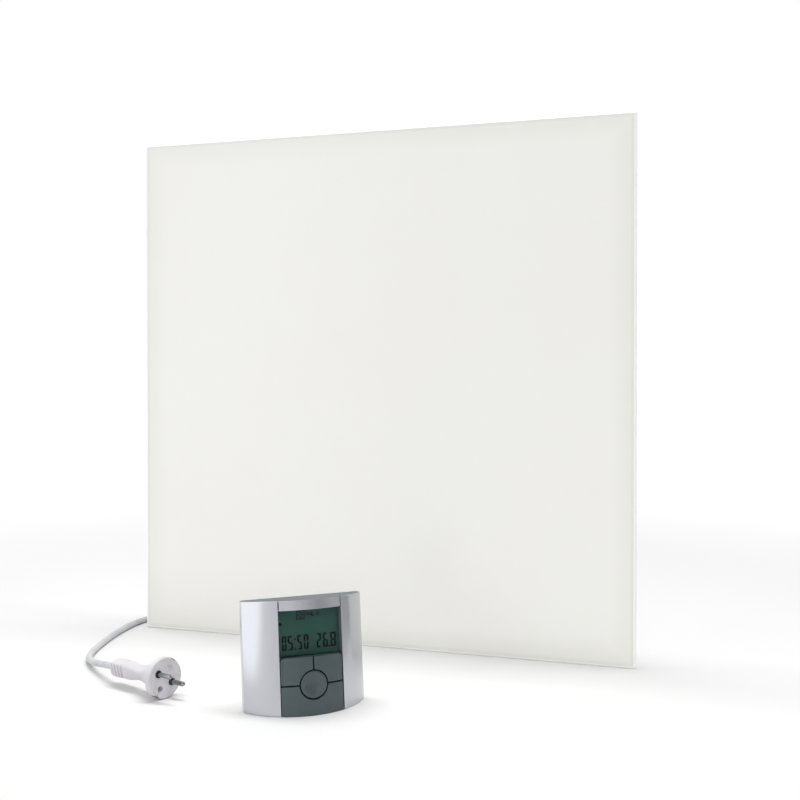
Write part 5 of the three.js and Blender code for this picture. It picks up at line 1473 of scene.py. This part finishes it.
def arrow_key(node, side):
    near, far, foot = LINE_GAP / 2, KEY_HALF, KEY_LINE + LINE_GAP / 2
    corners = [(near, foot, 0.4), (far, foot, 0.5), (far, KEY_TOP, 4), (near, KEY_TOP, 0.8)]
    outline = filleted([(side * x, z, radius) for x, z, radius in corners], 8)
    cap = (skin & facing(outline, -70, -COLUMN_BACK)) - round_button_gap()
    return cap + stem(node, side * 18, 37, front_at(22, KEY_SINK + KEY_CAP / 2))


def round_button():
    face = front_at(BUTTON_RADIUS, KEY_SINK) + 0.6
    skirt = face - KEY_CAP - 2.5
    profile = [(0, skirt), (BUTTON_RADIUS - 0.3, skirt), (BUTTON_RADIUS, skirt + 0.3)]
    profile.append((BUTTON_RADIUS, face - 1.3))
    crest = (BUTTON_RADIUS + DISH_RADIUS) / 2
    swell = BUTTON_RADIUS - crest
    bend = (0.3, 0.6, 0.9, 1.2, 1.57)
    profile += [(crest + swell * math.cos(a), face - 1.3 + 1.3 * math.sin(a)) for a in bend]
    profile += [(crest - swell * 0.5, face - 0.14), (crest - swell * 0.85, face - 0.42)]
    for step in range(9):
        share = 1 - step / 9
        profile.append((DISH_RADIUS * share, face - 0.7 - (DISH_DEPTH - 0.7) * (1 - share ** 2.6)))
    profile.append((0, face - DISH_DEPTH))
    button = turned(profile, 72).placed(shift(0, 0, KEY_LINE) @ swing("X", 90))
    return button + stem("ok_button", 0, KEY_LINE, skirt + 0.5)


def lower_cover():
    area = block(-KEY_HALF, KEY_HALF, COLUMN_BACK + COVER_CLEARANCE, 60, -20, KEY_LINE - LINE_GAP / 2)
    cover = bowed_body(KEY_SINK, 0, KEY_LINE + 5, lift=0.05) & area
    hollow = bowed_body(KEY_SINK + KEY_CAP, -2, KEY_LINE + 8, lift=KEY_CAP)
    return cover - hollow - round_button_gap()


skin = key_skin()
slate = key_moulding()
for node, side in (("left_key", -1), ("right_key", 1)):
    piece(f"{node}_cap", arrow_key(node, side), slate, [node], place=CASE, body=node, edge=0.8)
button = round_button()
piece("round_button", button, slate, ["ok_button"], place=CASE, body="ok_button", edge=0.1)
piece("foot_cover", lower_cover(), slate, ["lower_cover"], place=CASE, edge=0.8)

# %% [markdown]
# ## What lies inside
#
# These parts keep the shape that the construction gave them, and only get their finishes.

# %% Inner finishes
INNER = {
    "heating_film": streaked("carbon_film", (44, 44, 46), (30, 30, 32), 3, (0.05, 1, 1), 0.5),
    "insulation_board": streaked("mineral_board", (218, 211, 190), (196, 188, 166), 2.5, (1, 1, 0.3), 0.85),
    "busbar_left": streaked("rolled_copper", (196, 128, 84), (176, 108, 66), 1.5, (1, 1, 0.05), 0.25, 1.0),
    "receiver_board": board_laminate(),
    "circuit_board": board_laminate(CASE),
    "receiver_relay": moulded("relay_moulding", colour(30, 32, 36), colour(38, 40, 44), 0.4, 0.01, 0.4),
    "thermal_cutout": moulded("cutout_moulding", colour(44, 38, 34), colour(54, 46, 40), 0.4, 0.01, 0.4),
    "terminal_block": white_moulding,
    "gland_nut": white_moulding,
    "key_carrier": slate,
    "battery_1": cell_sleeve(),
}
INNER["busbar_right"] = INNER["busbar_left"]
INNER["battery_2"] = INNER["battery_1"]
for node, finish in INNER.items():
    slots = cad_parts[node].data.materials
    slots.clear()
    slots.append(finish)
print(len(INNER), "inner parts finished")

# %% [markdown]
# ## Floor and light
#
# A white sweep in a studio: a pale floor, a bright room and three soft boxes. The room's own light is
# 0.62 of white. The camera sees white behind the object, and near it the floor holds the soft shadow.
#
# A reflection sees something else: a room, and a floor beyond the object, that are brighter than
# white at the front left and darker on the right. These tones stand for a bank of lamps and a dark
# side, and the soft boxes are hidden from reflections. The tones were fitted to the shading on the
# thermostat's silver case in the photograph, so the case's shading depends on them, and it will
# differ under other light.

# %% Floor
FLOOR_HALF = 6000
ROOM_TONES = [
    (-180, 1.0), (-68, 1.0), (-60, 1.8), (-24, 1.8), (-17, 1.12), (7, 0.9), (22, 0.92), (70, 0.34),
    (95, 0.6), (108, 0.42), (127, 0.42), (150, 0.8), (180, 1.0),
]


def room_tone(board, x, y):
    """How bright the room looks in a reflection, by compass heading: 0 is towards the front."""
    heading = x.math("ARCTAN2", x, 0 - y)
    stops = [(angle / 360 + 0.5, (tone / 2, tone / 2, tone / 2, 1)) for angle, tone in ROOM_TONES]
    ramp = board.node("ShaderNodeValToRGB", {"stops": stops}, {"Fac": heading / math.tau + 0.5})
    return board.node("ShaderNodeVectorMath", {"operation": "SCALE"}, {0: ramp, "Scale": 2.0})


def seen_directly(board):
    """1 on rays from the camera, a reflection or a clear piece, 0 on rays that carry light."""
    kinds = ("Is Camera Ray", "Is Glossy Ray", "Is Transmission Ray")
    path = [board.node("ShaderNodeLightPath", out=kind) for kind in kinds]
    return path[0].above(path[1]).above(path[2])


def studio_floor():
    floor = Paint("studio_floor", Roughness=0.9)
    floor.coat(Base_Color=floor.blend(floor.cloud(400), colour(220, 220, 220), colour(223, 223, 223)))
    in_gloss = floor.node("ShaderNodeLightPath", out="Is Glossy Ray")
    tone = floor.blend(in_gloss, (1, 1, 1, 1), room_tone(floor, floor.x, floor.y))
    white = floor.node("ShaderNodeEmission", {}, {"Color": tone, "Strength": 1.0})
    from_middle = (floor.x * floor.x + floor.y * floor.y) ** 0.5
    away = from_middle.rise(450, 1300)
    near_gloss = in_gloss * from_middle.rise(330, 600)
    lifted = floor.node("ShaderNodeMixShader", {}, {
        0: seen_directly(floor) * away + near_gloss * (1 - away),
        1: Wire(floor, floor.shader.outputs[0]),
        2: white,
    })
    floor.feed(floor.tree.nodes["Material Output"].inputs["Surface"], lifted)
    return floor.material


corners = [(sx * FLOOR_HALF, sy * FLOOR_HALF) for sx, sy in ((-1, -1), (1, -1), (1, 1), (-1, 1))]
sweep = upright(corners, -10, 0)
sweep.mesh.transform(Matrix.Scale(MM, 4))
floor = bpy.data.objects.new("studio_floor", sweep.mesh)
floor.data.materials.append(studio_floor())
bpy.context.scene.collection.objects.link(floor)

# %% Room
ROOM_LIGHT = 0.62
world = bpy.data.worlds.new("room")
bpy.context.scene.world = world
world.use_nodes = True
room = Board(world.node_tree)
backdrop = room.tree.nodes["Background"]
direction = room.node("ShaderNodeTexCoord", out="Generated")
heading = room.node("ShaderNodeSeparateXYZ", {}, {"Vector": direction})
across, along = (Wire(room, heading.socket.node.outputs[axis]) for axis in "XY")
in_gloss = room.node("ShaderNodeLightPath", out="Is Glossy Ray")
looks = room.blend(in_gloss, (1, 1, 1, 1), room_tone(room, across, along))
lights = (ROOM_LIGHT, ROOM_LIGHT, ROOM_LIGHT, 1)
room.feed(backdrop.inputs["Color"], room.blend(seen_directly(room), lights, looks))

# %% Soft boxes
def soft_box(name, place, target, width, height, watts):
    """A lamp turned towards its target, which neither the camera nor a reflection sees; in metres."""
    lamp = bpy.data.lights.new(name, "AREA")
    lamp.shape = "RECTANGLE"
    lamp.size, lamp.size_y = width, height
    lamp.energy = watts
    box = bpy.data.objects.new(name, lamp)
    box.location = place
    box.rotation_euler = (Vector(target) - Vector(place)).to_track_quat("-Z", "Y").to_euler()
    box.visible_camera = False
    box.visible_glossy = False
    bpy.context.scene.collection.objects.link(box)


soft_box("overhead", (0, 0.08, 1.9), (0, 0.08, 0), 1.8, 0.4, 30)
soft_box("left_bank", (-3.97, -4.72, 1.82), (0, -0.22, 1.82), 4.0, 3.6, 66)
soft_box("front_fill", (0.8, -2.6, 1.9), (0, 0, 0.3), 1.6, 1.2, 13)

# %% [markdown]
# ## The lead's skin
#
# The lead is a curve with a round section, which keeps its length honest.

# %% The lead
cord_curve = bpy.data.curves.new("mains_lead", "CURVE")
cord_curve.dimensions = "3D"
cord_curve.bevel_depth = CORD_DIAMETER / 2 * MM
cord_curve.bevel_resolution = 5
cord_curve.use_fill_caps = True
spline = cord_curve.splines.new("POLY")
spline.points.add(len(cord_line) - 1)
for knot, place in zip(spline.points, cord_line):
    knot.co = (*(place * MM), 1)
spline.use_smooth = True
cord_curve.materials.append(lead_sheath())
mains_lead = bpy.data.objects.new("mains_lead", cord_curve)
bpy.context.scene.collection.objects.link(mains_lead)
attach(mains_lead, "root")
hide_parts("cord_lead", "cord_coil", "cord_run")
